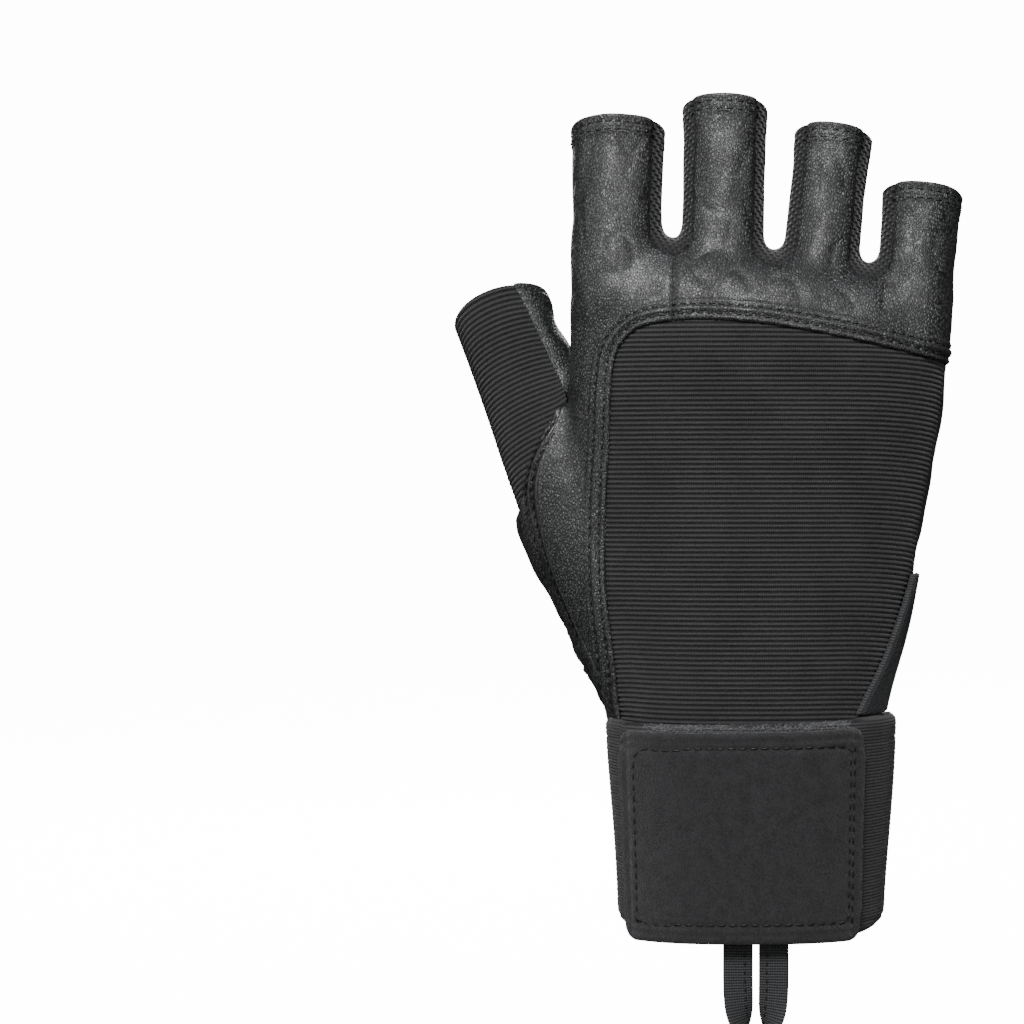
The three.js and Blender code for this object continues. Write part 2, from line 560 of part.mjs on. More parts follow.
// The pull tab on a finger's palm side: a band between the gussets and a tongue that leans out over its rim.
function pullTab(finger) {
  const low = SEAM;
  const high = SEAM + PULL_PLY;
  const rim = 1 - 0.4 / finger.length;
  const foot = rim - PULL_BAND / finger.length;
  const place = (up) => tableShare(up);
  const half = fingerAt(finger, 1).half;
  const spare = Math.acos(THREE.MathUtils.clamp((half - GUSSET_REACH - 2 * SEAM) / half, 0, 1)) * 1.08;
  const count = 12;
  const band = loft(Array.from({ length: count + 1 }, (_, k) => {
    const angle = lerp(spare, Math.PI - spare, k / count);
    return [fingerPoint(finger, place(foot), angle, low), fingerPoint(finger, place(foot), angle, high),
      fingerPoint(finger, place(rim), angle, high), fingerPoint(finger, place(rim), angle, low)];
  }));
  const root = fingerPoint(finger, place(rim), Math.PI / 2, (low + high) / 2);
  const bend = 6;
  const tongue = [];
  let point = root.clone().add(new THREE.Vector3(0, -0.25, -PULL_ROOT));
  for (let k = 0; k <= bend; k++) {
    const lean = PULL_LEAN * THREE.MathUtils.smoothstep(k, 0, bend - 2);
    const across = new THREE.Vector3(PULL_WIDTH / 2, 0, 0);
    const out = new THREE.Vector3(0, Math.cos(lean), -Math.sin(lean)).multiplyScalar(PULL_PLY * 0.48);
    tongue.push([point.clone().sub(across).sub(out), point.clone().add(across).sub(out),
      point.clone().add(across).add(out), point.clone().sub(across).add(out)]);
    const onward = new THREE.Vector3(0, Math.sin(lean), Math.cos(lean));
    point = point.clone().addScaledVector(onward, (PULL_LENGTH + PULL_ROOT) / bend);
  }
  return band.add(loft(tongue));
}

// The place along a finger's table that lies a share of its length above the web.
function tableShare(up) {
  let [low, high] = [0, 1];
  for (let i = 0; i < 30; i++) {
    const mid = (low + high) / 2;
    if (column(FINGER_ROWS, "up", mid) < up) low = mid;
    else high = mid;
  }
  return low;
}

// The folded leather patch that strengthens the crotch of the thumb, seen on the palm side.
function crotchPatch() {
  const shell = skin(SEAM + PATCH_PLY).subtract(skin(SEAM));
  return shell.intersect(prism(placed(CROTCH_PATCH))).subtract(backHalf(HAND_DEPTH / 5));
}

// The hanging loop of tape: two legs sewn flat under the cuff that turn on edge where they meet below.
function hangLoop() {
  const steps = 34;
  const depth = -0.6 * HAND_DEPTH + CUFF_WALL / 2;
  const top = CUFF_BOTTOM - SEAM;
  const middle = LOOP_ACROSS * HAND_WIDTH;
  const rings = [];
  for (let k = 0; k <= steps; k++) {
    const s = (k / steps) * 2 - 1;
    const bottomness = 1 - Math.abs(s) ** 2.6;
    const bow = 1 + 0.22 * Math.sin(Math.PI * Math.abs(s));
    const x = middle + Math.sign(s) * LOOP_SPREAD * bow * Math.abs(s) ** 0.55;
    const z = top - (LOOP_DROP + top) * bottomness ** 0.8;
    rings.push({ x, z, s });
  }
  return loft(rings.map(({ x, z, s }, k) => {
    const before = rings[Math.max(0, k - 1)];
    const after = rings[Math.min(steps, k + 1)];
    const along = new THREE.Vector3(after.x - before.x, 0, after.z - before.z).normalize();
    const twist = (1 - THREE.MathUtils.smoothstep(Math.abs(s), 0.2, 0.92)) * (Math.PI / 2) * 0.86;
    const flat = new THREE.Vector3(-along.z, 0, along.x);
    const wide = flat.clone().multiplyScalar(Math.cos(twist)).add(new THREE.Vector3(0, Math.sin(twist), 0));
    const thin = new THREE.Vector3().crossVectors(along, wide).normalize();
    const centre = new THREE.Vector3(x, depth + LOOP_PLY * 0.2, z);
    return [[-1, -1], [1, -1], [1, 1], [-1, 1]].map(([a, b]) =>
      centre.clone().addScaledVector(wide, (a * LOOP_TAPE) / 2).addScaledVector(thin, (b * LOOP_PLY) / 2));
  }));
}

const LEATHER = { color: 0x232526, roughness: 0.42, metalness: 0 };
const ELASTIC = { color: 0x1c1c1e, roughness: 0.9, metalness: 0 };
const KNIT = { color: 0x161617, roughness: 0.95, metalness: 0 };
const SUEDE = { color: 0x1d1d1f, roughness: 1, metalness: 0 };

const glove = new THREE.Group();
function piece(name, cut, look) {
  const { vertProperties, triVerts, numProp } = largest(cut).getMesh();
  const position = new Float32Array((vertProperties.length / numProp) * 3);
  for (let i = 0; i < position.length / 3; i++) {
    position.set(vertProperties.subarray(i * numProp, i * numProp + 3), i * 3);
  }
  const geometry = new THREE.BufferGeometry()
    .setAttribute("position", new THREE.BufferAttribute(position, 3))
    .setIndex(new THREE.BufferAttribute(triVerts, 1));
  const mesh = new THREE.Mesh(geometry, new THREE.MeshStandardMaterial(look));
  mesh.name = name;
  glove.add(mesh);
}

piece("palm_leather", palmSide.subtract(saddleRegion(SEAM)), LEATHER);
piece("thumb_saddle", palmSide.intersect(saddleRegion(0)), LEATHER);
piece("thumb_fabric", panels.intersect(thumbFabricSpace), ELASTIC);
piece("thumb_strip", thumbLess.intersect(stripSpace), LEATHER);
piece("index_panel", backLeather.intersect(leftOf(indexSeam - SEAM)), LEATHER);
piece("knuckle_yoke", backLeather.subtract(leftOf(indexSeam)), LEATHER);
piece("back_fabric", backSide.intersect(backFabricRegion(0)), ELASTIC);
for (const [name, cut] of gussets) piece(name, cut, KNIT);

const cuff = handSolid(0).subtract(handSolid(-CUFF_WALL)).intersect(slab(CUFF_BOTTOM, WRAP_HEIGHT));
piece("wrist_cuff", cuff, ELASTIC);
piece("wrist_wrap", wristWrap(), ELASTIC);
piece("closure_tab", closureTab(), SUEDE);
piece("strap_anchor", strapAnchor(), ELASTIC);
piece("crotch_patch", crotchPatch(), LEATHER);
piece("hang_loop", hangLoop(), ELASTIC);
for (const finger of [MIDDLE, RING]) piece(`pull_tab_${finger.name}`, pullTab(finger), SUEDE);

export default glove;
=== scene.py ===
# %% [markdown]
# # A weightlifting glove
# This lesson dresses a right-hand weightlifting glove: thin black leather, ribbed elastic over the back
# of the hand and the thumb, knit between the fingers, and a long elastic wrap wound round the wrist. The
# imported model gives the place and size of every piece. Each cell below makes one piece or one finish and
# says how the real one is made.

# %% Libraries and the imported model
import math

import bpy
import numpy as np
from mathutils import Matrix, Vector, noise
from mathutils.bvhtree import BVHTree


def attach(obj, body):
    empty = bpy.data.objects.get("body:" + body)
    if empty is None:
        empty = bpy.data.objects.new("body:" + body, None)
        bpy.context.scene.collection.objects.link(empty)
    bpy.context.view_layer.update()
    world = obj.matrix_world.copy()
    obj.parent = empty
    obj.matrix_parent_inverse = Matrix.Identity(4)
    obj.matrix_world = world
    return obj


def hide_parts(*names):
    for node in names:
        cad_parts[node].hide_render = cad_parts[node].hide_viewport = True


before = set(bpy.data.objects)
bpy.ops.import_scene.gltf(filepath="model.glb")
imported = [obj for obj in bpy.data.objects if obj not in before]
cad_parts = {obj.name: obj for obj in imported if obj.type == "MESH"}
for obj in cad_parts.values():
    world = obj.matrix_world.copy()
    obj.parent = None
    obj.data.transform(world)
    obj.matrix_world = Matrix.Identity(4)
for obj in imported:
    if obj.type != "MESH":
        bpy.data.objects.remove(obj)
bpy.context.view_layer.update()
print("packed nodes:", len(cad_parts))

# %% [markdown]
# ## Working in millimetres
# A glove is a matter of millimetres: a stitch is 2 mm long, a rib 1.2 mm. All shapes here are arrays of
# points in millimetres, and become metres only when Blender gets the mesh. Working on whole arrays keeps
# a surface of a hundred thousand points quick to bend.

# %% From arrays to objects
MM = 0.001
IMAGE_SIZE = 1024


def mesh_object(name, points, faces, uv=None):
    """A smooth-shaded object from points in millimetres and triangles or quads, with an optional UV map."""
    mesh = bpy.data.meshes.new(name)
    sides = faces.shape[1]
    mesh.vertices.add(len(points))
    mesh.vertices.foreach_set("co", (np.asarray(points) * MM).astype(np.float32).ravel())
    mesh.loops.add(faces.size)
    mesh.loops.foreach_set("vertex_index", faces.astype(np.int32).ravel())
    mesh.polygons.add(len(faces))
    mesh.polygons.foreach_set("loop_start", np.arange(0, faces.size, sides, dtype=np.int32))
    mesh.update(calc_edges=True)
    mesh.polygons.foreach_set("use_smooth", np.ones(len(faces), dtype=bool))
    if uv is not None:
        layer = mesh.uv_layers.new(name="cloth")
        layer.data.foreach_set("uv", uv[faces.ravel()].astype(np.float32).ravel())
    made = bpy.data.objects.new(name, mesh)
    bpy.context.scene.collection.objects.link(made)
    return made


def arrays_of(thing):
    """Points in millimetres and triangles of an object, with its modifiers applied."""
    evaluated = thing.evaluated_get(bpy.context.evaluated_depsgraph_get())
    mesh = evaluated.to_mesh()
    mesh.calc_loop_triangles()
    points = np.empty(len(mesh.vertices) * 3)
    mesh.vertices.foreach_get("co", points)
    faces = np.empty(len(mesh.loop_triangles) * 3, dtype=np.int32)
    mesh.loop_triangles.foreach_get("vertices", faces)
    evaluated.to_mesh_clear()
    return points.reshape(-1, 3) / MM, faces.reshape(-1, 3)


def normals_of(points, faces):
    """Outward unit normals at the points of a triangle mesh."""
    a, b, c = (points[faces[:, k]] for k in range(3))
    facing = np.cross(b - a, c - a)
    total = np.zeros_like(points)
    for k in range(3):
        np.add.at(total, faces[:, k], facing)
    return total / np.maximum(np.linalg.norm(total, axis=1, keepdims=True), 1e-9)


def relax(points, faces, rounds, share, weight=1.0):
    """Moves each point towards the mean of its neighbours, which smooths a mesh and rounds its hollows."""
    edges = np.concatenate([faces[:, [0, 1]], faces[:, [1, 2]], faces[:, [2, 0]]])
    count = np.bincount(edges[:, 0], minlength=len(points)).clip(1)[:, None]
    points = points.copy()
    for _ in range(rounds):
        sums = [np.bincount(edges[:, 0], points[edges[:, 1], k], len(points)) for k in range(3)]
        total = np.stack(sums, axis=1)
        points += (total / count - points) * share * weight
    return points


def smoothstep(value, low, high):
    t = np.clip((value - low) / (high - low), 0, 1)
    return t * t * (3 - 2 * t)


def bell(value, width):
    """A soft bump of height 1 at zero."""
    return np.exp(-((value / width) ** 2))


# %% [markdown]
# ## Cutting panels out of one skin
# A glove maker cuts flat panels and sews them edge to edge, so the sewn glove is one skin with lines on
# it. Here the skin is made first and then cut along those lines. Each line is a signed distance, positive
# on the panel's side, and a triangle that the line crosses is split exactly where the distance is zero.

# %% Cutting and thickening
def clip(points, faces, field):
    """The part of a triangle mesh where field is positive."""
    inside = field > 0
    count = inside[faces].sum(axis=1)
    made, edges, split = [], {}, []

    def crossing(a, b):
        key = (min(a, b), max(a, b))
        if key not in edges:
            share = field[a] / (field[a] - field[b])
            edges[key] = len(points) + len(made)
            made.append(points[a] + (points[b] - points[a]) * share)
        return edges[key]

    for triangle in faces[(count == 1) | (count == 2)].tolist():
        ring = []
        for a, b in zip(triangle, triangle[1:] + triangle[:1]):
            if inside[a]:
                ring.append(a)
            if inside[a] != inside[b]:
                ring.append(crossing(a, b))
        split += [(ring[0], ring[k], ring[k + 1]) for k in range(1, len(ring) - 1)]
    kept = np.concatenate([faces[count == 3], np.array(split, dtype=int).reshape(-1, 3)])
    return compact(np.concatenate([points, np.array(made).reshape(-1, points.shape[1])]), kept)


def compact(points, faces):
    """The same faces without the points that none of them uses."""
    used, index = np.unique(faces, return_inverse=True)
    return points[used], index.reshape(faces.shape)


def main_parts(points, faces, least):
    """The connected parts of a mesh that have at least some faces, without crumbs left by a cut."""
    label = np.arange(len(points))
    while True:
        lowest = label[faces].min(axis=1)
        before = label.copy()
        for k in range(3):
            np.minimum.at(label, faces[:, k], lowest)
        label = label[label]
        if np.array_equal(before, label):
            break
    values, index, counts = np.unique(label[faces[:, 0]], return_inverse=True, return_counts=True)
    return compact(points, faces[counts[index] >= least])


def shell(points, faces, thickness, bulge=0.35, inner=None, uv=None):
    """Gives an open sheet a wall inwards, with a rounded edge like leather that is turned over."""
    normal = normals_of(points, faces)
    inside = points - normal * thickness if inner is None else inner
    sides = faces.shape[1]
    pairs = np.concatenate([faces[:, [k, (k + 1) % sides]] for k in range(sides)])
    keys = {(a, b) for a, b in pairs.tolist()}
    rim = np.array([(a, b) for a, b in keys if (b, a) not in keys])
    total = len(points)
    rim_points = np.unique(rim)
    outward = np.zeros_like(points)
    run = points[rim[:, 1]] - points[rim[:, 0]]
    wall = points - inside
    side = np.cross(run, wall[rim[:, 0]] / np.linalg.norm(wall[rim[:, 0]], axis=1, keepdims=True))
    for k in range(2):
        np.add.at(outward, rim[:, k], side)
    outward /= np.maximum(np.linalg.norm(outward, axis=1, keepdims=True), 1e-9)
    levels = [0.16, 0.5, 0.84]
    row = {}
    extra = []
    for k, level in enumerate(levels):
        reach = bulge * math.sin(math.pi * level) * thickness
        ring = points[rim_points] * (1 - level) + inside[rim_points] * level + outward[rim_points] * reach
        first = 2 * total + k * len(rim_points)
        row[k] = dict(zip(rim_points.tolist(), range(first, first + len(rim_points))))
        extra.append(ring)
    quads = []
    for a, b in rim.tolist():
        columns = [(a, b)] + [(row[k][a], row[k][b]) for k in range(len(levels))] + [(a + total, b + total)]
        for (a0, b0), (a1, b1) in zip(columns, columns[1:]):
            quads += [(b0, a0, a1, b1)] if sides == 4 else [(b0, a0, a1), (b0, a1, b1)]
    everything = np.concatenate([points, inside] + extra)
    faces = np.concatenate([faces, faces[:, ::-1] + total, np.array(quads)])
    if uv is None:
        return everything, faces
    return everything, faces, np.concatenate([uv, uv] + [uv[rim_points]] * len(levels))

# %% [markdown]
# ## Finishes
# Every material here is black, so what tells them apart is how they catch the light: leather by its
# pebble grain, elastic by its ribs, loop cloth by its dull nap. One small helper adds a node, sets it and
# links it, and patterns are sized in real millimetres.

# %% Node helper
def srgb(code):
    """An sRGB hex colour as the linear values that Blender works in."""
    values = [int(code[k:k + 2], 16) / 255 for k in (1, 3, 5)]
    return tuple(v / 12.92 if v <= 0.04045 else ((v + 0.055) / 1.055) ** 2.4 for v in values) + (1.0,)


def node(tree, kind, inputs=None, out=0, **settings):
    """Adds a node and returns one of its outputs. An input is a number, a colour or another node's output."""
    added = tree.nodes.new(kind if "Node" in kind else "ShaderNode" + kind)
    for key, value in settings.items():
        setattr(added, key, value)
    for key, value in (inputs or {}).items():
        if isinstance(value, bpy.types.NodeSocket):
            tree.links.new(value, added.inputs[key])
        else:
            added.inputs[key].default_value = value
    return added.outputs[out] if len(added.outputs) else added


def calc(tree, operation, *values):
    """A calculation on numbers or other nodes' outputs, by a Math node."""
    return node(tree, "Math", dict(enumerate(values)), operation=operation)


def blend(tree, share, low, high):
    """A colour between two others, by a Mix node."""
    return node(tree, "Mix", {0: share, 6: low, 7: high}, out=2, data_type="RGBA")


def finish(name, paint):
    """A material from the nodes of paint(tree), which returns colour, height, its depth and settings."""
    material = bpy.data.materials.new(name)
    material.use_nodes = True
    tree = material.node_tree
    tree.nodes.clear()
    colour, height, depth, settings = paint(tree)
    inputs = {"Base Color": colour, **settings}
    if height is not None:
        inputs["Normal"] = node(tree, "Bump", {"Height": height, "Distance": depth * MM})
    node(tree, "OutputMaterial", {"Surface": node(tree, "BsdfPrincipled", inputs)})
    return material


# %% [markdown]
# ## Leather
# Goatskin has a pebble grain of a little under a millimetre, finer cracks between the pebbles, and larger
# soft patches where the hide was stretched. The colour is painted lighter on the pebble tops as a painted
# highlight and darker in the cracks between them as painted shade, and convex ridges and folds are painted
# lighter still as a painted highlight.

# %% Leather finishes
def leather(dark, light, grain, gloss, depth=0.2):
    def paint(tree):
        place = node(tree, "TexCoord", out="Object")
        drift = node(tree, "TexNoise", {"Vector": place, "Scale": 900, "Detail": 1}, out="Color")
        wavy = node(tree, "VectorMath", {0: drift, 1: (0.0007,) * 3}, operation="MULTIPLY")
        warped = node(tree, "VectorMath", {0: place, 1: wavy}, operation="ADD")
        long = node(tree, "Mapping", {"Vector": warped, "Rotation": (0, 0.35, 0), "Scale": (1.15, 1, 0.72)})
        cells = node(tree, "TexVoronoi", {"Vector": long, "Scale": 1 / (grain * MM)},
                     feature="DISTANCE_TO_EDGE")
        pebble = node(tree, "MapRange", {"Value": cells, "From Max": 0.3}, interpolation_type="SMOOTHERSTEP")
        fine = node(tree, "TexNoise", {"Vector": place, "Scale": 3000, "Detail": 2})
        patches = node(tree, "TexNoise", {"Vector": place, "Scale": 130, "Detail": 3})
        # The grain is bold in some places and nearly flat where the hide was pulled smooth.
        bold = node(tree, "MapRange", {"Value": patches, "From Min": 0.35, "From Max": 0.62, "To Min": 0.4})
        ground = calc(tree, "MULTIPLY", pebble, bold)
        height = calc(tree, "MULTIPLY_ADD", fine, 0.3, ground)
        # Painted highlight on the raised pebble tops and painted shade in the cracks between them.
        colour = blend(tree, pebble, srgb(dark), srgb(light))
        # Painted highlight: convex ridges and folds, found by pointiness, are painted a lighter grey.
        bent = node(tree, "NewGeometry", out="Pointiness")
        ridge_highlight = node(tree, "MapRange", {"Value": bent, "From Min": 0.51, "From Max": 0.58, "To Max": 0.3})
        colour = blend(tree, ridge_highlight, colour, srgb("#454546"))
        rough = node(tree, "MapRange", {"Value": patches, "From Min": 0.3, "From Max": 0.7,
                                        "To Min": gloss - 0.05, "To Max": gloss + 0.09})
        return colour, height, depth, {"Roughness": rough, "Specular IOR Level": 0.5}
    return paint


BACK_LEATHER = finish("goatskin, black", leather("#0a0a0b", "#333435", 0.74, 0.41, 0.17))
PALM_LEATHER = finish("goatskin, palm side", leather("#0a0d0c", "#2d3231", 0.8, 0.43, 0.16))
STRIP_LEATHER = finish("goatskin, polished folds", leather("#0a0a0b", "#2a2a2c", 0.8, 0.33, 0.08))

# %% [markdown]
# ## Elastic, knit and nap
# The ribbed panels and the wrap are elastic: thick filling cords wrapped by fine yarn, which shows as
# small steps along each rib. Their colour is painted lighter on the rib crests as a painted highlight and
# darker in the grooves between ribs as painted shade. The knit between the fingers is a slanting mesh of
# loops, painted lighter on the loops and darker between them in the same way. The closing tab is faced
# with brushed loops, and the pull tabs are suede.

# %% Cloth finishes
def ribbed(pitch, dark, light, yarn, depth):
    """Ribs across the cloth's second coordinate, with fine yarns across the first, all in millimetres."""
    def paint(tree):
        cloth = node(tree, "UVMap", uv_map="cloth")
        place = node(tree, "TexCoord", out="Object")
        across = node(tree, "SeparateXYZ", {0: cloth}, out="X")
        along = node(tree, "SeparateXYZ", {0: cloth}, out="Y")
        jitter = node(tree, "TexNoise", {"Vector": place, "Scale": 800, "Detail": 2})
        fuzz = node(tree, "TexNoise", {"Vector": place, "Scale": 3600, "Detail": 2})
        patches = node(tree, "TexNoise", {"Vector": place, "Scale": 90, "Detail": 3})
        drifted = calc(tree, "MULTIPLY_ADD", jitter, pitch * 0.2, along)
        turn = calc(tree, "MULTIPLY", drifted, math.pi / pitch)
        rib = calc(tree, "ABSOLUTE", calc(tree, "SINE", turn))
        step = calc(tree, "MULTIPLY", across, 2 * math.pi / yarn)
        step = calc(tree, "MULTIPLY_ADD", jitter, 5.0, step)
        step = calc(tree, "SINE", step)
        grown = calc(tree, "MULTIPLY_ADD", step, 0.22, rib)
        height = calc(tree, "MULTIPLY_ADD", fuzz, 0.9, grown)
        uneven = calc(tree, "MULTIPLY_ADD", patches, 0.5, height)
        # The colour follows the ribs' height: painted highlight on the rib crests and painted shade in the
        # grooves, with random patches of tone.
        tone = node(tree, "MapRange", {"Value": uneven, "From Min": 0.85, "From Max": 2.0})
        colour = blend(tree, tone, srgb(dark), srgb(light))
        return colour, height, depth, {"Roughness": 0.75, "Sheen Weight": 0.08, "Sheen Roughness": 0.4,
                                       "Specular IOR Level": 0.35}
    return paint


def knitted(tree):
    place = node(tree, "TexCoord", out="Object")
    turned = node(tree, "Mapping", {"Vector": place, "Rotation": (0, 0.6, 0),
                                    "Scale": (1 / (1.25 * MM),) * 3})
    up = node(tree, "SeparateXYZ", {0: turned}, out="Z")
    row = calc(tree, "MULTIPLY", up, 2 * math.pi)
    column = calc(tree, "MULTIPLY", node(tree, "SeparateXYZ", {0: turned}, out="X"), 2 * math.pi)
    rows = calc(tree, "SINE", row)
    leaning = calc(tree, "MULTIPLY_ADD", rows, 0.9, column)
    loops = calc(tree, "SINE", leaning)
    height = calc(tree, "MULTIPLY_ADD", rows, 0.7, loops)
    # The colour follows the loops' height: painted highlight on the loops and painted shade between them.
    tone = node(tree, "MapRange", {"Value": height, "From Min": -1.2, "From Max": 1.6})
    colour = blend(tree, tone, srgb("#040405"), srgb("#232325"))
    return colour, height, 0.16, {"Roughness": 0.85, "Sheen Weight": 0.1, "Specular IOR Level": 0.3}


def napped(dark, light, size, depth):
    """Brushed cloth or suede: fibres that lie every way, with faint blotches where they were stroked."""
    def paint(tree):
        place = node(tree, "TexCoord", out="Object")
        blotch = node(tree, "TexNoise", {"Vector": place, "Scale": 0.15 / (size * MM), "Detail": 3})
        tufts = node(tree, "TexNoise", {"Vector": place, "Scale": 1 / (size * MM), "Detail": 4,
                                        "Roughness": 0.7, "Distortion": 0.6})
        mixed = calc(tree, "MULTIPLY_ADD", blotch, 0.35, tufts)
        tone = node(tree, "MapRange", {"Value": mixed, "From Min": 0.42, "From Max": 0.95})
        colour = blend(tree, tone, srgb(dark), srgb(light))
        return colour, tufts, depth, {"Roughness": 0.95, "Sheen Weight": 0.15, "Sheen Roughness": 0.5,
                                      "Specular IOR Level": 0.2}
    return paint


def threaded(tree):
    place = node(tree, "TexCoord", out="Object")
    twist = node(tree, "TexNoise", {"Vector": place, "Scale": 2600, "Detail": 1})
    colour = blend(tree, twist, srgb("#020202"), srgb("#121213"))
    return colour, twist, 0.08, {"Roughness": 0.5, "Specular IOR Level": 0.4}


BACK_ELASTIC = finish("ribbed elastic", ribbed(1.22, "#000000", "#363638", 0.5, 0.2))
WRAP_ELASTIC = finish("woven elastic", ribbed(0.78, "#0c0c0d", "#3c3c3e", 0.6, 0.16))
TAPE_ELASTIC = finish("woven tape", ribbed(0.66, "#08080a", "#38393b", 0.6, 0.14))
KNIT = finish("slanting knit", knitted)
LOOP_CLOTH = finish("brushed loop cloth", napped("#0f0f10", "#303032", 0.5, 0.5))
SUEDE = finish("suede", napped("#0d0e0f", "#232425", 0.3, 0.12))
THREAD = finish("bonded nylon thread", threaded)
FRINGE = finish("brushed fibres", lambda tree: (srgb("#77787a"), None, 0, {"Roughness": 0.8}))


def paper(tree):
    """White paper that is lit so brightly that it shows no shade."""
    return srgb("#ffffff"), None, 0, {"Roughness": 0.9, "Specular IOR Level": 0.0,
                                      "Emission Color": srgb("#ffffff"), "Emission Strength": 14.0}


PAPER = finish("white paper sweep", paper)
print("materials:", len(bpy.data.materials))


# %% [markdown]
# ## The hand inside the glove
# Worn leather follows the hand, so its shape is that of a hand: a flat oval tube from the wrist to the
# knuckles, four round tubes for the fingers and one for the thumb. Each tube is a short table of sections
# that are joined by a smooth curve, as a last maker draws them.

# %% Sizes and sections of the hand
FINGERS = {  # width, length above the web, depth and sideways lean
    "index": (24.4, 25.5, 21.6, 0.01),
    "middle": (22.6, 34.5, 22.0, 0.015),
    "ring": (20.6, 30.5, 20.6, 0.11),
    "little": (20.8, 18.5, 19.4, 0.09),
}
FINGER_GAP = 3.6
HAND_WIDTH = sum(size[0] for size in FINGERS.values()) + 3 * FINGER_GAP
HAND_SHIFT = 0.031 * HAND_WIDTH
HAND_DEPTH = 35
HAND_RISE = 174
WEB_SLOPE = -0.13
CURL = 0.19
MOUTH_TILT = 0.3
THUMB_WIDTH = 25.6
THUMB_LENGTH = 107
THUMB_HEEL = 0.34
THUMB_TILT = 0.36
SEAM = 0.3

HAND_ROWS = np.array([  # rise, left, right, back, palm, squareness, share of the web's slope
    [0.0, -0.308, 0.292, -0.6, 0.6, 2.7, 0], [0.16, -0.308, 0.294, -0.58, 0.58, 2.7, 0],
    [0.31, -0.33, 0.33, -0.57, 0.6, 2.6, 0], [0.42, -0.36, 0.378, -0.54, 0.6, 2.5, 0],
    [0.52, -0.405, 0.418, -0.52, 0.6, 2.4, 0], [0.63, -0.445, 0.452, -0.5, 0.585, 2.4, 0],
    [0.74, -0.466, 0.487, -0.5, 0.55, 2.4, 0.1], [0.845, -0.47, 0.508, -0.5, 0.5, 2.4, 0.5],
    [0.91, -0.466, 0.52, -0.46, 0.46, 2.4, 1], [0.955, -0.46, 0.524, -0.38, 0.4, 2.3, 1],
    [0.985, -0.44, 0.505, -0.24, 0.3, 2.2, 1], [1.0, -0.42, 0.49, -0.03, 0.12, 2.0, 1]])
FINGER_ROWS = np.array([  # up, width, depth, share of the curl
    [-1.1, 0.8, 0.9, 0], [-0.62, 0.96, 1.24, 0.03], [-0.3, 0.99, 1.2, 0.12], [0.0, 0.985, 1.08, 0.3],
    [0.35, 0.975, 1.0, 0.52], [0.7, 0.985, 0.98, 0.78], [1.0, 1.0, 0.97, 1]])
ROOT_DROP = 32
THUMB_ROWS = np.array([  # across, depth, rise, width, thickness
    [-0.19, 0.1, -0.03, 1.36, 1.24], [-0.28, 0.17, 0.19, 1.46, 1.34], [-0.392, 0.24, 0.385, 1.42, 1.34],
    [-0.497, 0.31, 0.57, 1.2, 1.2], [-0.583, 0.36, 0.745, 1.04, 1.08], [-0.665, 0.39, 0.93, 0.98, 1.0]])


def between(a, b, c, d, u):
    """A place on the smooth curve from b to c, which comes from a and goes on to d."""
    return b + 0.5 * u * (c - a + u * (2 * a - 5 * b + 4 * c - d + u * (3 * (b - c) + d - a)))


def row_at(rows, t):
    """A smooth row of a table at a place along it, from 0 to 1."""
    at = t * (len(rows) - 1)
    i = min(len(rows) - 2, int(at))
    a, b, c, d = (rows[min(max(k, 0), len(rows) - 1)] for k in (i - 1, i, i + 1, i + 2))
    return between(a, b, c, d, at - i)


def superellipse(angles, square):
    c, s = np.cos(angles), np.sin(angles)
    return np.sign(c) * np.abs(c) ** (2 / square), np.sign(s) * np.abs(s) ** (2 / square)


def web_at(x):
    return HAND_RISE + WEB_SLOPE * (x - HAND_SHIFT)


def hand_ring(t, angles, grow=0.0):
    rise, left, right, back, palm, square, slope = row_at(HAND_ROWS, t)
    c, s = superellipse(angles, square)
    x = (left + right) / 2 * HAND_WIDTH + c * ((right - left) / 2 * HAND_WIDTH + grow)
    y = (back + palm) / 2 * HAND_DEPTH + s * ((palm - back) / 2 * HAND_DEPTH + grow)
    return np.stack([x, y, rise * HAND_RISE + slope * WEB_SLOPE * (x - HAND_SHIFT)], axis=1)


finger_root = {}
edge = HAND_SHIFT - HAND_WIDTH / 2
for finger, (width, *_) in FINGERS.items():
    finger_root[finger] = edge + width / 2
    edge += width + FINGER_GAP


def finger_ring(finger, t, angles, grow=0.0, beyond=0.0):
    """A ring of points round a finger: angle 0 is the little finger's side, a quarter turn the palm."""
    width, length, depth, splay = FINGERS[finger]
    up, wide, deep, curled = row_at(FINGER_ROWS, t)
    height = up * (ROOT_DROP if up < 0 else length) + beyond
    c, s = superellipse(angles, 2.2)
    x, y = c * (wide * width / 2 + grow), s * (deep * depth / 2 + grow)
    tilt = MOUTH_TILT * curled
    root = finger_root[finger]
    centre = [root + splay * height, CURL * (length * curled + beyond), web_at(root) + height]
    return np.stack([centre[0] + x, centre[1] + y, centre[2] - tilt * y - splay * x], axis=1)


def share_up(up):
    """The place along a finger's table that lies a share of its length above the web."""
    low, high = 0.0, 1.0
    for _ in range(30):
        middle = (low + high) / 2
        low, high = (middle, high) if row_at(FINGER_ROWS, middle)[0] < up else (low, middle)
    return low


thumb_points = np.stack([THUMB_ROWS[:, 0] * HAND_WIDTH, THUMB_ROWS[:, 1] * HAND_DEPTH,
                         THUMB_HEEL * HAND_RISE + THUMB_ROWS[:, 2] * THUMB_LENGTH], axis=1)


def thumb_centre(t):
    at = t * (len(thumb_points) - 1)
    i = min(len(thumb_points) - 2, int(at))
    a, b, c, d = (thumb_points[min(max(k, 0), len(thumb_points) - 1)] for k in (i - 1, i, i + 1, i + 2))
    a = 2 * b - c if i == 0 else a
    d = 2 * c - b if i == len(thumb_points) - 2 else d
    return between(a, b, c, d, at - i)


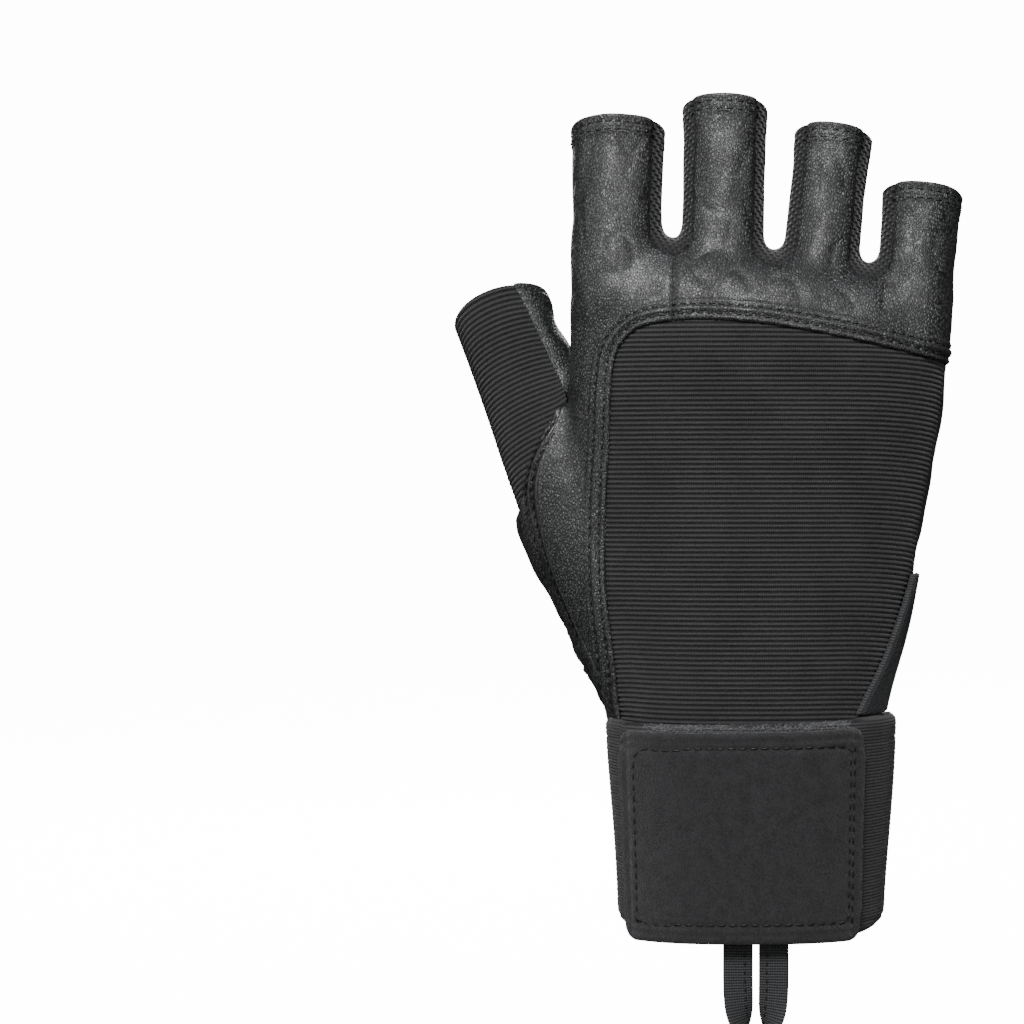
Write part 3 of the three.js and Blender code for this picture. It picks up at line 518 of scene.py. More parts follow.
def thumb_frame(t):
    """Middle of the thumb at a place along it, with its directions along, across and out of the palm."""
    along = thumb_centre(min(t + 0.01, 1)) - thumb_centre(max(t - 0.01, 0))
    along /= np.linalg.norm(along)
    across = np.array([along[2], 0, -along[0]])
    across /= np.linalg.norm(across)
    return thumb_centre(t), along, across, np.cross(along, across)


def thumb_ring(t, angles, grow=0.0, beyond=0.0):
    centre, along, across, palm = thumb_frame(t)
    _, _, _, wide, thick = row_at(THUMB_ROWS, t)
    c, s = superellipse(angles, 2.1)
    side, out = c * (wide * THUMB_WIDTH / 2 + grow), s * (thick * THUMB_WIDTH / 2 + grow)
    return (centre + along * beyond + side[:, None] * across + out[:, None] * palm
            - (out * THUMB_TILT * t ** 3)[:, None] * along)


def tube(rings):
    """Points and outward triangles of a closed tube through rings of points, with a fan on each end."""
    sides = len(rings[0])
    points = np.concatenate([*rings, [rings[0].mean(axis=0)], [rings[-1].mean(axis=0)]])
    k = np.arange(sides)
    after = (k + 1) % sides
    top = (len(rings) - 1) * sides
    quads = np.concatenate([np.stack([low + k, low + after, low + sides + after, low + sides + k], axis=1)
                            for low in range(0, top, sides)])
    fans = np.concatenate([np.stack([after, k, k * 0 + len(points) - 2], axis=1),
                           np.stack([top + k, top + after, k * 0 + len(points) - 1], axis=1)])
    faces = np.concatenate([quads[:, [0, 1, 2]], quads[:, [0, 2, 3]], fans])
    a, b, c = (points[faces[:, corner]] for corner in range(3))
    if np.einsum("ij,ij->i", a, np.cross(b, c)).sum() < 0:
        faces = faces[:, ::-1]
    return points, faces


# %% [markdown]
# ## One skin from six tubes
# The tubes run into each other at the knuckles and at the root of the thumb. A voxel remesh joins them
# into one closed surface, and a few rounds of smoothing there make the soft webs that leather has between
# the fingers.

# %% The skin
MOUTH_SPARE = 7  # the tubes run on past their openings and are cut there afterwards
TURN = np.linspace(0, 2 * np.pi, 96, endpoint=False)


def whole_skin(voxel):
    """The skin of the glove as points and triangles about a voxel apart."""
    tubes = [mesh_object("hand tube", *tube([hand_ring(t, TURN) for t in np.linspace(0, 1, 90)]))]
    for finger in FINGERS:
        rings = [finger_ring(finger, t, TURN) for t in np.linspace(0, 1, 50)]
        rings.append(finger_ring(finger, 1, TURN, beyond=MOUTH_SPARE))
        tubes.append(mesh_object(finger + " tube", *tube(rings)))
    rings = [thumb_ring(t, TURN) for t in np.linspace(0, 1, 60)]
    rings.append(thumb_ring(1, TURN, beyond=MOUTH_SPARE))
    tubes.append(mesh_object("thumb tube", *tube(rings)))
    with bpy.context.temp_override(active_object=tubes[0], selected_editable_objects=tubes):
        bpy.ops.object.join()
    joining = tubes[0].modifiers.new("one skin", "REMESH")
    joining.mode = "VOXEL"
    joining.voxel_size = voxel * MM
    points, faces = arrays_of(tubes[0])
    bpy.data.objects.remove(tubes[0])
    x, _, z = points.T
    above_web = z - web_at(x)
    near_webs = smoothstep(above_web, -26, -8) * (1 - smoothstep(above_web, 1, 5))
    near_thumb = bell(np.hypot(x + 38, (z - 118) / 2.2), 19)
    rounds = int(60 * (0.62 / voxel) ** 2)
    points = relax(points, faces, int(8 * (0.62 / voxel) ** 2) + 1, 0.5)
    return relax(points, faces, rounds, 0.5, np.clip(near_webs * 0.9 + near_thumb, 0, 1)[:, None]), faces


# The palm is plain and large, so it takes a coarser skin than the stitched and folded back.
skins = {"palm": whole_skin(0.8), "back": whole_skin(0.58)}
for side, (points, _) in skins.items():
    print(side, "skin:", len(points), "points")

# %% [markdown]
# ## Seam lines
# A seam is drawn as a line seen from the front, as on a cutting pattern. Every point of the skin then
# learns how far it is from the line and on which side, and that one number does three jobs: it cuts the
# panel, it sinks or lifts the leather beside the seam, and it carries the stitches.

# %% Lines on the pattern
def smooth_line(points, step=1.0):
    """A smooth curve through pattern points, as points about one step apart."""
    points = np.array(points, dtype=float)
    rows = []
    for i in range(len(points) - 1):
        count = max(2, int(np.linalg.norm(points[i + 1] - points[i]) / step))
        rows += [row_at(points, (i + k / count) / (len(points) - 1)) for k in range(count)]
    return np.array(rows + [points[-1]])


def on_pattern(shares):
    """Shares of the hand's width and height as millimetres."""
    return [(across * HAND_WIDTH, rise * HAND_RISE) for across, rise in shares]


def from_line(points, line):
    """Signed distance of each point to a line seen from the front: positive to the left of its direction."""
    flat = points[:, [0, 2]]
    best = np.full(len(points), 1e9)
    signed = np.zeros(len(points))
    for a, b in zip(line[:-1], line[1:]):
        run = b - a
        offset = flat - a
        share = np.clip(offset @ run / max(run @ run, 1e-9), 0, 1)
        distance = np.hypot(*(offset - share[:, None] * run).T)
        nearer = distance < best
        best[nearer] = distance[nearer]
        cross = run[0] * offset[:, 1] - run[1] * offset[:, 0]
        signed[nearer] = (np.sign(cross) * distance)[nearer]
    return signed


PALM_CHANNELS = [smooth_line(on_pattern(rows), 2) for rows in (
    [(0.55, 0.82), (0.27, 0.845), (0.05, 0.872), (-0.17, 0.894), (-0.5, 0.9)],
    [(0.5, 0.7), (0.15, 0.735), (-0.1, 0.764), (-0.3, 0.785), (-0.4, 0.81)],
    [(0.5, 0.54), (0.15, 0.563), (-0.07, 0.575), (-0.18, 0.59), (-0.32, 0.632), (-0.42, 0.7), (-0.55, 0.83),
     (-0.72, 1.06)])]
BACK_FABRIC_LINE = smooth_line(on_pattern([
    (-0.3, 0.2), (-0.335, 0.3), (-0.352, 0.4), (-0.37, 0.5), (-0.372, 0.6), (-0.362, 0.72), (-0.355, 0.8),
    (-0.342, 0.842), (-0.308, 0.868), (-0.26, 0.882), (-0.15, 0.889), (0.02, 0.884), (0.25, 0.862),
    (0.6, 0.818), (0.9, 0.78)]))
HAND_THUMB_LINE = smooth_line(on_pattern([
    (-0.3, 0.2), (-0.352, 0.3), (-0.385, 0.37), (-0.455, 0.45), (-0.53, 0.56), (-0.54, 0.64), (-0.522, 0.71),
    (-0.475, 0.82), (-0.45, 1.2)]))
THUMB_BACK_LINE = smooth_line(on_pattern([
    (-0.44, 0.3), (-0.47, 0.4), (-0.53, 0.49), (-0.575, 0.575), (-0.592, 0.64), (-0.552, 0.71),
    (-0.497, 0.765), (-0.482, 0.79), (-0.6, 0.935), (-0.72, 1.06)]))
THUMB_PALM_LINE = smooth_line(on_pattern([
    (-0.2, 0.3), (-0.305, 0.432), (-0.55, 0.672), (-0.655, 0.81), (-0.82, 1.06)]))
SADDLE_LINE = smooth_line(on_pattern([
    (-0.475, 1.3), (-0.475, 1.1), (-0.475, 0.95), (-0.45, 0.872), (-0.385, 0.845), (-0.31, 0.812),
    (-0.222, 0.78), (-0.147, 0.74), (-0.105, 0.69), (-0.088, 0.63), (-0.093, 0.56), (-0.125, 0.5),
    (-0.172, 0.455), (-0.27, 0.412), (-0.372, 0.39), (-0.6, 0.41), (-0.9, 0.44)]))
INDEX_SEAM_X = -0.196 * HAND_WIDTH
GUSSET_REACH = 2.9
GUSSET_SINK = 4.2
THUMB_BINDING = 2.4


def curtain(points):
    """Distance from the side seam, which follows the lean of the fingers: positive towards the palm."""
    top = CURL * FINGERS["middle"][1]
    height = [0, 0.93 * HAND_RISE, HAND_RISE, HAND_RISE + FINGERS["middle"][1], HAND_RISE + 80]
    return points[:, 1] - np.interp(points[:, 2], height, [0, 0, top * 0.3, top, top * 1.8])


def gusset_field(points, left, right):
    """How deep a point lies inside the knit strip between two fingers: a tongue with a round lower end."""
    root = finger_root[left] + FINGERS[left][0] / 2 + FINGER_GAP / 2
    height = web_at(root)
    half = FINGER_GAP / 2 + GUSSET_REACH
    bottom = height - GUSSET_SINK + half
    x, z = points[:, 0], points[:, 2]
    up = np.clip(z - height, 0, None)
    low = root - half + up * FINGERS[left][3]
    high = root + half + up * FINGERS[right][3]
    straight = np.minimum(x - low, high - x)
    round_end = half - np.hypot(x - root, z - bottom)
    return np.where(z > bottom, straight, round_end)


def mouth_field(points):
    """Distance of each point below the opening of its own finger or thumb."""
    x, y, z = points.T
    depth = np.full(len(points), 60.0)
    for finger, (width, length, _, splay) in FINGERS.items():
        centre = finger_ring(finger, 1, TURN).mean(axis=0)
        beside = np.abs(x - centre[0] - splay * (z - centre[2]))
        mine = (z > web_at(finger_root[finger]) + 2) & (beside < width / 2 + 1.7)
        plane = centre[2] - MOUTH_TILT * (y - centre[1]) - splay * (x - centre[0])
        depth = np.where(mine, plane - z, depth)
    centre, along, _, palm = thumb_frame(1)
    rise = (points - centre) @ along
    thumb = (rise > -45) & (x < -0.47 * HAND_WIDTH) & (z > 130) & (from_line(points, THUMB_SIDE) > 0)
    return np.where(thumb, -(rise + THUMB_TILT * ((points - centre) @ palm)), depth)


THUMB_SIDE = np.array([(-47.5, 120.0), (-47.5, 137.0), (-47.8, 240.0)])
print("palm channels:", len(PALM_CHANNELS))

# %% [markdown]
# ## The pattern's panels
# A glove is cut from a set of paper patterns. Each panel here is a field over the skin, made from its seams:
# the least of several distances is positive only where a point lies inside all of them, so panels that share
# a seam share its line and leave no gap.

# %% Every point's place on the pattern
def pattern(skin):
    """Each panel's field over the skin, positive inside it, and the distances that shape the leather."""
    x, _, z = skin.T
    front = curtain(skin)
    saddle = from_line(skin, SADDLE_LINE)  # positive on the palm leather, negative on the thumb's
    fabric = -from_line(skin, BACK_FABRIC_LINE)  # positive on the fabric
    hand_thumb = from_line(skin, HAND_THUMB_LINE)  # positive on the thumb's side
    mouth = mouth_field(skin)
    knit = {f"gusset_{a}_{b}": gusset_field(skin, a, b) for a, b in GAPS}
    knit_any = np.maximum.reduce(list(knit.values()))
    thumb_cloth = thumb_cloth_field(skin, saddle)
    beside_cloth = smoothstep(z, *WIDER_FROM) * (1 - smoothstep(z, *WIDER_UNTIL))
    reach = STRIP_REACH + WIDER_STRIP * beside_cloth
    strip = np.minimum.reduce([hand_thumb, reach - front, STRIP_TOP - z])
    # Above its crotch the thumb's leather is all saddle.
    thumb_top = np.minimum(THUMB_INSIDE - x, z - STRIP_TOP)
    hand = np.minimum.reduce([-knit_any, -thumb_cloth, -strip, z - PANEL_FOOT, mouth])
    back = np.minimum.reduce([hand, -front, -thumb_top])
    panels = {
        "palm_leather": np.minimum.reduce([hand, front, saddle]),
        "thumb_saddle": np.minimum.reduce([hand, np.maximum(front, thumb_top), -saddle]),
        "thumb_strip": np.minimum.reduce([-thumb_cloth, strip, z - PANEL_FOOT, mouth]),
        "index_panel": np.minimum.reduce([back, -fabric, INDEX_SEAM_X - x]),
        "knuckle_yoke": np.minimum.reduce([back, -fabric, x - INDEX_SEAM_X]),
        **{name: np.minimum.reduce([field, mouth - 0.4]) for name, field in knit.items()},
    }
    places = {"front": front, "saddle": saddle, "fabric": fabric, "mouth": mouth, "knit": knit_any,
              "thumb_cloth": thumb_cloth, "strip": strip}
    return panels, places


GAPS = [("index", "middle"), ("middle", "ring"), ("ring", "little")]
PANEL_FOOT = 52.6  # the panels end just under the upper edge of the wrap
STRIP_REACH = 0.12 * HAND_DEPTH
STRIP_TOP = 0.79 * HAND_RISE
WIDER_STRIP = 10  # behind the thumb's elastic the strip is cut wider, up to the cloth
WIDER_FROM, WIDER_UNTIL = (65, 70), (103, 109)  # heights where the wider cut begins and ends
THUMB_CUT = thumb_frame(0.72)
THUMB_LAP = 6.2  # low on the side of the thumb the strip laps over the cloth
LAP_HEIGHT, LAP_SPREAD = 92.5, 10
THUMB_INSIDE = -46.6  # the hand's side of the thumb, over its crotch


def thumb_cloth_field(points, saddle):
    """The thumb's elastic: left of one line on the back of the thumb, and of another on its palm side."""
    in_front = (points - THUMB_CUT[0]) @ THUMB_CUT[3]
    lap = THUMB_LAP * smoothstep(points[:, 1], -2, 2) * bell(points[:, 2] - LAP_HEIGHT, LAP_SPREAD)
    back = np.minimum(from_line(points, THUMB_BACK_LINE) - lap, SEAM - in_front)
    palm = np.minimum(from_line(points, THUMB_PALM_LINE), in_front)
    return np.minimum(np.maximum(back, palm), -saddle - THUMB_BINDING)


# %% [markdown]
# ## How the leather lies
# Foam pads under the palm leather puff it up between sewn channels, each seam pulls the leather down into
# a groove, and a turned edge stands a little proud. All of it is one height added along the skin's own
# direction, built up term by term.

# %% Heights of the leather
def crumple(points, size, stretch=(1, 1, 1), seed=0.0):
    """Smooth noise in about -1 to 1, with lumps of a given size in millimetres."""
    scaled = points / size * np.array(stretch) + seed
    return np.array([noise.noise(p) for p in scaled.tolist()])


def creases(points, size, stretch, seed):
    """Narrow valleys between soft folds, as leather makes where it bends."""
    return -np.clip(1 - np.abs(crumple(points, size, stretch, seed)) * 3.2, 0, 1) ** 2


PAD_RISE = 1.35
CHANNEL_ROWS = 1.05  # from the middle of a palm channel to each of its two rows of stitches
HEM_ROWS = (1.7, 3.7)
HEM_DEPTH = 4.7
BORDER_ROWS = (1.4, 3.8)
ARC_ROWS = (1.3, 3.3)
FOLD_LINES = [smooth_line(points) for points in (
    [(-50, 130), (-54.6, 123), (-57.1, 116.4), (-57.8, 109.8), (-56.6, 102.7), (-54.6, 95.5), (-51.8, 86),
     (-46, 73)],
    [(-49.5, 127.3), (-53.6, 121.4), (-55.6, 115.7), (-56, 109.8), (-54.8, 102.7), (-53, 96.3), (-49.8, 87),
     (-44, 73)])]
SLANT = np.array([[0.8, 0, -0.6], [0, 1, 0], [0.6, 0, 0.8]]).T


def leather_height(skin, places):
    """How far the leather stands above the skin, in millimetres."""
    x, _, z = skin.T
    front, saddle, mouth = places["front"], places["saddle"], places["mouth"]
    palmwards = smoothstep(front, 0.5, 6)
    channels = [np.abs(from_line(skin, line)) for line in PALM_CHANNELS]
    lift = np.zeros(len(skin))

    # The pads, then the channels between them. The third channel runs on over the thumb.
    palm_zone = smoothstep(z, 58, 78) * (1 - smoothstep(z, 160, 170)) * palmwards
    pad_edge = np.minimum(np.minimum.reduce(channels), np.where(saddle > 0, saddle, 50))
    lift += PAD_RISE * palm_zone * (1 - bell(pad_edge, 4.6))
    on_palm = palmwards * smoothstep(saddle, -0.2, 0.4) * (1 - smoothstep(z, 162, 168))
    for distance, place in zip(channels, (on_palm, on_palm, palmwards)):
        lift += place * (0.38 * bell(distance, 0.75) - 0.5 * bell(distance - CHANNEL_ROWS, 0.6))

    # Each finger's hem is doubled and held by two rows of stitches.
    lift += 0.42 * (1 - smoothstep(mouth, HEM_DEPTH - 0.4, HEM_DEPTH + 0.5))
    for row in HEM_ROWS:
        lift -= 0.32 * bell(mouth - row, 0.6)

    # The leather's turned border beside the back fabric, and the palm leather's turned edge over the thumb.
    for distance, rows, place in ((-places["fabric"], BORDER_ROWS, 1 - palmwards),
                                  (saddle, ARC_ROWS, palmwards)):
        border = np.where(distance > 0, 1 - smoothstep(distance, rows[1] + 0.6, rows[1] + 1.6), 0)
        lift += place * border * (0.5 + 0.35 * bell(distance - sum(rows) / 2, 0.75))
        for row in rows:
            lift -= place * border * 0.42 * bell(distance - row, 0.5)

    # Seams without a turned edge only draw both sides down.
    index_seam = np.where((z > 150) & (front < 2), x - INDEX_SEAM_X, 50)
    for distance in (front, index_seam, places["knit"], places["thumb_cloth"]):
        lift -= 0.55 * bell(distance, 0.8)

    # Folds beside the thumb: the leather is gathered there, and each valley is stitched down.
    on_strip = smoothstep(places["strip"], -0.4, 1.0) * smoothstep(z, 56, 64)
    valley = np.minimum.reduce([np.abs(from_line(skin, line)) for line in FOLD_LINES])
    lift += on_strip * (0.75 * (1 - bell(valley, 1.3)) - 0.5 * bell(valley, 0.5))

    # Soft wrinkles: long ones down the fingers, slanting ones over the heel, and broad ones on the back.
    fingers = smoothstep(z, 150, 166)
    lift += 0.26 * fingers * crumple(skin, 5.5, (1, 1, 0.42), 3.1)
    lift += 0.34 * fingers * creases(skin, 9, (1, 1, 0.5), 8.3) * smoothstep(mouth, 4, 9)
    heel = palmwards * (1 - smoothstep(z, 84, 104)) * smoothstep(z, 56, 62)
    lift += 0.75 * heel * creases(skin @ SLANT, 15, (0.45, 1, 1.5), 1.7)
    lift += 0.4 * (1 - fingers) * (1 - on_strip) * crumple(skin, 13, (1, 1, 0.8), 5.9) * smoothstep(z, 56, 70)
    return lift


# %% [markdown]
# ## The leather panels
# Each panel is cut from the dressed skin a hair inside its line, and given the thickness of glove
# leather. The edges are rounded because the leather is folded under itself before it is sewn.

# %% Cutting the leather
LEATHER_PLY = 1.1
PALM_SIDE = ("palm_leather", "thumb_saddle")
made = {}
dressed = {}
for side, (skin, skin_faces) in skins.items():
    panels, places = pattern(skin)
    lift = leather_height(skin, places)
    normal = normals_of(skin, skin_faces)
    dressed[side] = (skin, skin_faces, normal, lift, places)
    for name, field in panels.items():
        if (side == "palm") != (name in PALM_SIDE):
            continue
        knit = name.startswith("gusset")
        height = lift[:, None] * (0.5 if knit else 1) - (0.35 if knit else 0)
        layers = np.hstack([skin + normal * height, skin + normal * (height - LEATHER_PLY)])
        layers, faces = main_parts(*clip(layers, skin_faces, field + (0.3 if knit else -0.1)), 400)
        made[name] = mesh_object(name, *shell(layers[:, :3], faces, LEATHER_PLY, inner=layers[:, 3:]))
        material = KNIT if knit else PALM_LEATHER if side == "palm" else BACK_LEATHER
        made[name].data.materials.append(STRIP_LEATHER if name == "thumb_strip" else material)
        print(name, len(made[name].data.polygons), "faces")
skin, skin_faces, normal, lift, places = dressed["back"]

# %% [markdown]
# ## Ribbed elastic over the hand and the thumb
# The cloth is woven with thick cords under fine yarn, so it stands in round ribs 1.2 mm apart that
# stretch one way only. Each panel is a grid whose rows follow the ribs, six rows to a rib, laid on the
# skin and cut along the same lines as the leather round it.

# %% Ribs
RIB_PITCH = 1.22
RIB_ROWS = 6
RIB_HEIGHT = 0.42
CLOTH_PLY = 1.2
skin_tree = BVHTree.FromPolygons(skin.tolist(), skin_faces.tolist())


def snap(points):
    """The nearest places on the skin."""
    nearest = [skin_tree.find_nearest(Vector(place))[0] for place in points.reshape(-1, 3).tolist()]
    return np.array(nearest).reshape(points.shape)


def grid_faces(rows, columns, closed=False):
    """Quads of a grid, outward when its rows go up and its columns go round anticlockwise seen from above."""
    r, c = np.meshgrid(np.arange(rows - 1), np.arange(columns if closed else columns - 1), indexing="ij")
    after = (c + 1) % columns
    low, high = r * columns, (r + 1) * columns
    quads = np.stack([low + c, low + after, high + after, high + c], axis=-1)
    return quads.reshape(-1, 4)


def grid_normals(grid):
    """Unit normals of a grid of points with shape rows, columns, 3."""
    facing = np.cross(np.gradient(grid, axis=1), np.gradient(grid, axis=0))
    return facing / np.maximum(np.linalg.norm(facing, axis=2, keepdims=True), 1e-9)


def soften(grid, rounds):
    for _ in range(rounds):
        grid[1:-1] = (grid[:-2] + 2 * grid[1:-1] + grid[2:]) / 4
        grid[:, 1:-1] = (grid[:, :-2] + 2 * grid[:, 1:-1] + grid[:, 2:]) / 4
    return grid


def ribbed_panel(name, rough, phase, across, field, sink):
    """Cloth over a grid of rough places, cut where field is positive. The rib runs where phase is whole."""
    grid = soften(snap(rough), 14)
    facing = grid_normals(grid)
    rows, columns, _ = grid.shape
    flat = grid.reshape(-1, 3)
    wander = 0.05 * crumple(flat, 4, (1, 1, 1), 12.5)
    wave = np.abs(np.sin(np.pi * (phase.ravel() + wander))) ** 0.8
    uneven = 1 + 0.16 * crumple(flat, 2.6, (0.5, 1, 1), 4.4)
    height = RIB_HEIGHT * wave * uneven - sink(flat)
    outer = flat + facing.reshape(-1, 3) * height[:, None]
    inner = flat - facing.reshape(-1, 3) * (CLOTH_PLY + sink(flat))[:, None]
    data = np.hstack([outer, inner, across.ravel()[:, None], phase.ravel()[:, None] * RIB_PITCH])
    quads = grid_faces(rows, columns)
    faces = np.concatenate([quads[:, [0, 1, 2]], quads[:, [0, 2, 3]]])
    data, faces = main_parts(*clip(data, faces, field(flat)), 400)
    thing = mesh_object(name, *shell(data[:, :3], faces, CLOTH_PLY, inner=data[:, 3:6], uv=data[:, 6:8]))
    thing.data.materials.append(BACK_ELASTIC)
    return thing


def even_angles(ring, start, stop, step):
    """Angles from start to stop whose places on a ring lie about step apart."""
    fine = np.linspace(start, stop, 1200)
    places = ring(fine)
    run = np.concatenate([[0], np.cumsum(np.linalg.norm(np.diff(places, axis=0), axis=1))])
    count = int(run[-1] / step)
    return np.interp(np.linspace(0, run[-1], count), run, fine), np.linspace(0, run[-1], count)


def hand_at(height, angles):
    """The hand's outline at a height, without the slope that its upper rows have."""
    low, high = 0.0, 1.0
    for _ in range(24):
        middle = (low + high) / 2
        low, high = (middle, high) if row_at(HAND_ROWS, middle)[0] * HAND_RISE < height else (low, middle)
    ring = hand_ring(low, angles)
    ring[:, 2] = height
    return ring


angles, run = even_angles(lambda a: hand_at(110, a), -math.radians(176), math.radians(10), 1.15)
heights = np.arange(50, 160, RIB_PITCH / RIB_ROWS)
dip = 2.4 * smoothstep(run, 70, run[-1]) ** 2
rough = np.array([hand_at(h, angles) for h in heights])
rough[:, :, 2] -= dip
phase = np.repeat((heights / RIB_PITCH)[:, None], len(angles), axis=1)
across = np.repeat(run[None], len(heights), axis=0)


def back_field(points):
    inside = -from_line(points, BACK_FABRIC_LINE) - 0.05
    return np.minimum.reduce([-curtain(points), inside, points[:, 2] - PANEL_FOOT])


def back_sink(points):
    return 0.5 + 0.4 * bell(from_line(points, BACK_FABRIC_LINE), 1.5)


made["back_fabric"] = ribbed_panel("back_fabric", rough, phase, across, back_field, back_sink)

# %% The thumb's ribs
thumb_steps = np.linspace(0.02, 1, 400)
middles = np.array([thumb_centre(t) for t in thumb_steps])
length = np.concatenate([[0], np.cumsum(np.linalg.norm(np.diff(middles, axis=0), axis=1))])
angles, run = even_angles(lambda a: thumb_ring(0.7, a), 0, 2 * math.pi, 1.15)
rows = np.arange(0, length[-1] + MOUTH_SPARE, RIB_PITCH / RIB_ROWS)
shares = np.minimum(1, np.interp(rows, length, thumb_steps))
rough = np.array([thumb_ring(share, angles, beyond=max(0, row - length[-1]))
                  for share, row in zip(shares, rows)])
phase = np.repeat((rows / RIB_PITCH)[:, None], len(angles), axis=1)
across = np.repeat(run[None], len(rows), axis=0)


def thumb_field(points):
    return np.minimum(thumb_cloth_field(points, from_line(points, SADDLE_LINE)), mouth_field(points) - 0.3)


def thumb_sink(points):
    return 0.3 + 0 * points[:, 0]


# The seam of the grid lies on the side towards the hand, which the leather strip covers.
made["thumb_fabric"] = ribbed_panel("thumb_fabric", rough, phase, across, thumb_field, thumb_sink)
for name in ("back_fabric", "thumb_fabric"):
    print(name, len(made[name].data.polygons), "faces")

# %% [markdown]
# ## Cuff, wrap and closing tab
# The wrap is a long elastic band that goes once and a third round the wrist and closes on itself with a
# hook-and-loop tab. All three pieces follow the oval of the wrist. Their rims are thin folded cloth, so
# they are rounded, and the wrap dips a little in the middle where it is pulled tight.

# %% Strips round the wrist
CUFF_WALL = 1.5
WRAP_PLY = 2.0
TAB_PLY = 1.4
WRAP_TURNS = (-352, 146)
TAB_TURNS = (42, 145)


def flare(degrees, height):
    """How far a band stands off at the sides of the wrist: tight below, wide at its mouth."""
    return 3.2 * smoothstep(height, 2, 56) * np.cos(np.radians(degrees)) ** 2


def wrist_grid(turns, heights, out, step=1.0):
    """A grid of places round the wrist, between two turns in degrees. A quarter turn is the back."""
    degrees = np.arange(turns[0], turns[1] + step / 2, step)
    rows = []
    for share in heights:
        height = share(degrees) if callable(share) else np.full(len(degrees), share)
        angles = -np.radians(degrees)
        base = hand_at(30, angles)
        ahead, behind = hand_at(30, angles - 0.01), hand_at(30, angles + 0.01)
        run = (ahead - behind)[:, :2]
        run /= np.linalg.norm(run, axis=1, keepdims=True)
        base[:, 2] = height
        reach = out(degrees) if callable(out) else np.full(len(degrees), out)
        reach = reach + (reach > 0) * flare(degrees, height)
        base[:, 0] -= run[:, 1] * reach
        base[:, 1] += run[:, 0] * reach
        rows.append(base)
    return np.array(rows), degrees


def wound(turns, shares, low, high, out, ply, detail):
    """Outer and inner grids of a band between two edges, with a height added by detail(degrees, heights)."""
    edges = [lambda d, s=s: low(d) + (high(d) - low(d)) * s for s in shares]
    outer, degrees = wrist_grid(turns, edges, lambda d: out(d) + ply)
    inner, _ = wrist_grid(turns, edges, out)
    away = outer - inner
    away /= np.linalg.norm(away, axis=2, keepdims=True)
    turned = np.repeat(degrees[None], len(shares), axis=0)
    tall = outer[:, :, 2]
    near = np.minimum(tall - low(degrees), high(degrees) - tall)
    outer += away * (detail(turned, tall) - ply * 0.35 * (1 - np.sqrt(np.clip(near / 1.4, 0, 1))))[:, :, None]
    run = np.concatenate([[0], np.cumsum(np.linalg.norm(np.diff(outer[len(shares) // 2], axis=0), axis=1))])
    return outer, inner, np.stack([np.repeat(run[None], len(shares), axis=0), tall], axis=2)


def band(name, outer, inner, uv, material):
    """A closed strip from its outer and inner grids. These run clockwise, so the quads are turned over."""
    rows, columns, _ = outer.shape
    quads = grid_faces(rows, columns)[:, ::-1]
    points, faces, uv = shell(outer.reshape(-1, 3), quads, CUFF_WALL, inner=inner.reshape(-1, 3),
                              uv=uv.reshape(-1, 2))
    made[name] = mesh_object(name, points, faces, uv)
    made[name].data.materials.append(material)


def windings(degrees):
    return SEAM + (WRAP_PLY + SEAM) * (degrees - WRAP_TURNS[0]) / 360


def rim(degrees):
    """The wrap's upper edge: lower on the palm side, and pulled down a little in the middle of the back."""
    back = np.sin(np.radians(degrees))
    side = np.cos(np.radians(degrees))
    return 52.5 + 2.2 * back + 0.6 * side + 1.7 * side ** 4 - 1.1 * np.clip(back, 0, 1) ** 3


def hem_line(degrees):
    """The wrap's lower edge: it rises where the band turns at the two sides of the wrist."""
    return 1.6 + 2.6 * np.cos(np.radians(degrees)) ** 6


LOW_SHARES, HIGH_SHARES = [0, 0.004, 0.012, 0.022], [0.978, 0.988, 0.996, 1]
EDGE_SHARES = np.concatenate([LOW_SHARES, np.linspace(0.035, 0.965, 90), HIGH_SHARES])


def wrap_detail(degrees, heights):
    """Cords of the elastic, and a flatter hem along both edges."""
    cords = 0.09 * np.sin(heights * 2 * np.pi / 0.64 / 2)
    hem = 0.22 * np.exp(-((np.minimum(heights - 1, 53 - heights) - 3.6) / 0.5) ** 2)
    slack = 0.25 * np.sin(np.radians(degrees) * 5 + heights * 0.05) * np.sin(heights / 55 * np.pi)
    return cords - hem + slack


wrap = wound(WRAP_TURNS, EDGE_SHARES, hem_line, rim, windings, WRAP_PLY, wrap_detail)
band("wrist_wrap", *wrap, WRAP_ELASTIC)


def tab_corner(degrees):
    """How far the tab's corners draw in from its lower and upper edge."""
    inside = np.minimum(degrees - TAB_TURNS[0], TAB_TURNS[1] - degrees) * 0.62
    short = np.clip(4 - inside, 0, None)
    return 4 - np.sqrt(np.clip(16 - short ** 2, 0, None))


def tab_detail(degrees, heights):
    """The tab is pressed flat by its stitching and puffs a little inside and outside the stitched frame."""
    across = (degrees - TAB_TURNS[0]) / (TAB_TURNS[1] - TAB_TURNS[0])
    left, right = (1 - across) * 58, across * 58
    frame_line = np.minimum(np.minimum(np.abs(left - 2.6), np.abs(right - 2.6)), np.minimum(
        np.abs(heights - 5.2), np.abs(heights - 48.5)))
    edge = np.minimum(heights - tab_bottom(degrees), tab_top(degrees) - heights)
    lip = 0.45 * bell(edge - 1.8, 0.4)
    return 0.16 * crumple_grid(degrees, heights) - 0.42 * bell(frame_line, 0.7) - lip


def crumple_grid(degrees, heights):
    places = np.stack([degrees.ravel() * 0.6, heights.ravel(), 0 * heights.ravel()], axis=1)
    return crumple(places, 14, (1, 1, 1), 6.6).reshape(degrees.shape)


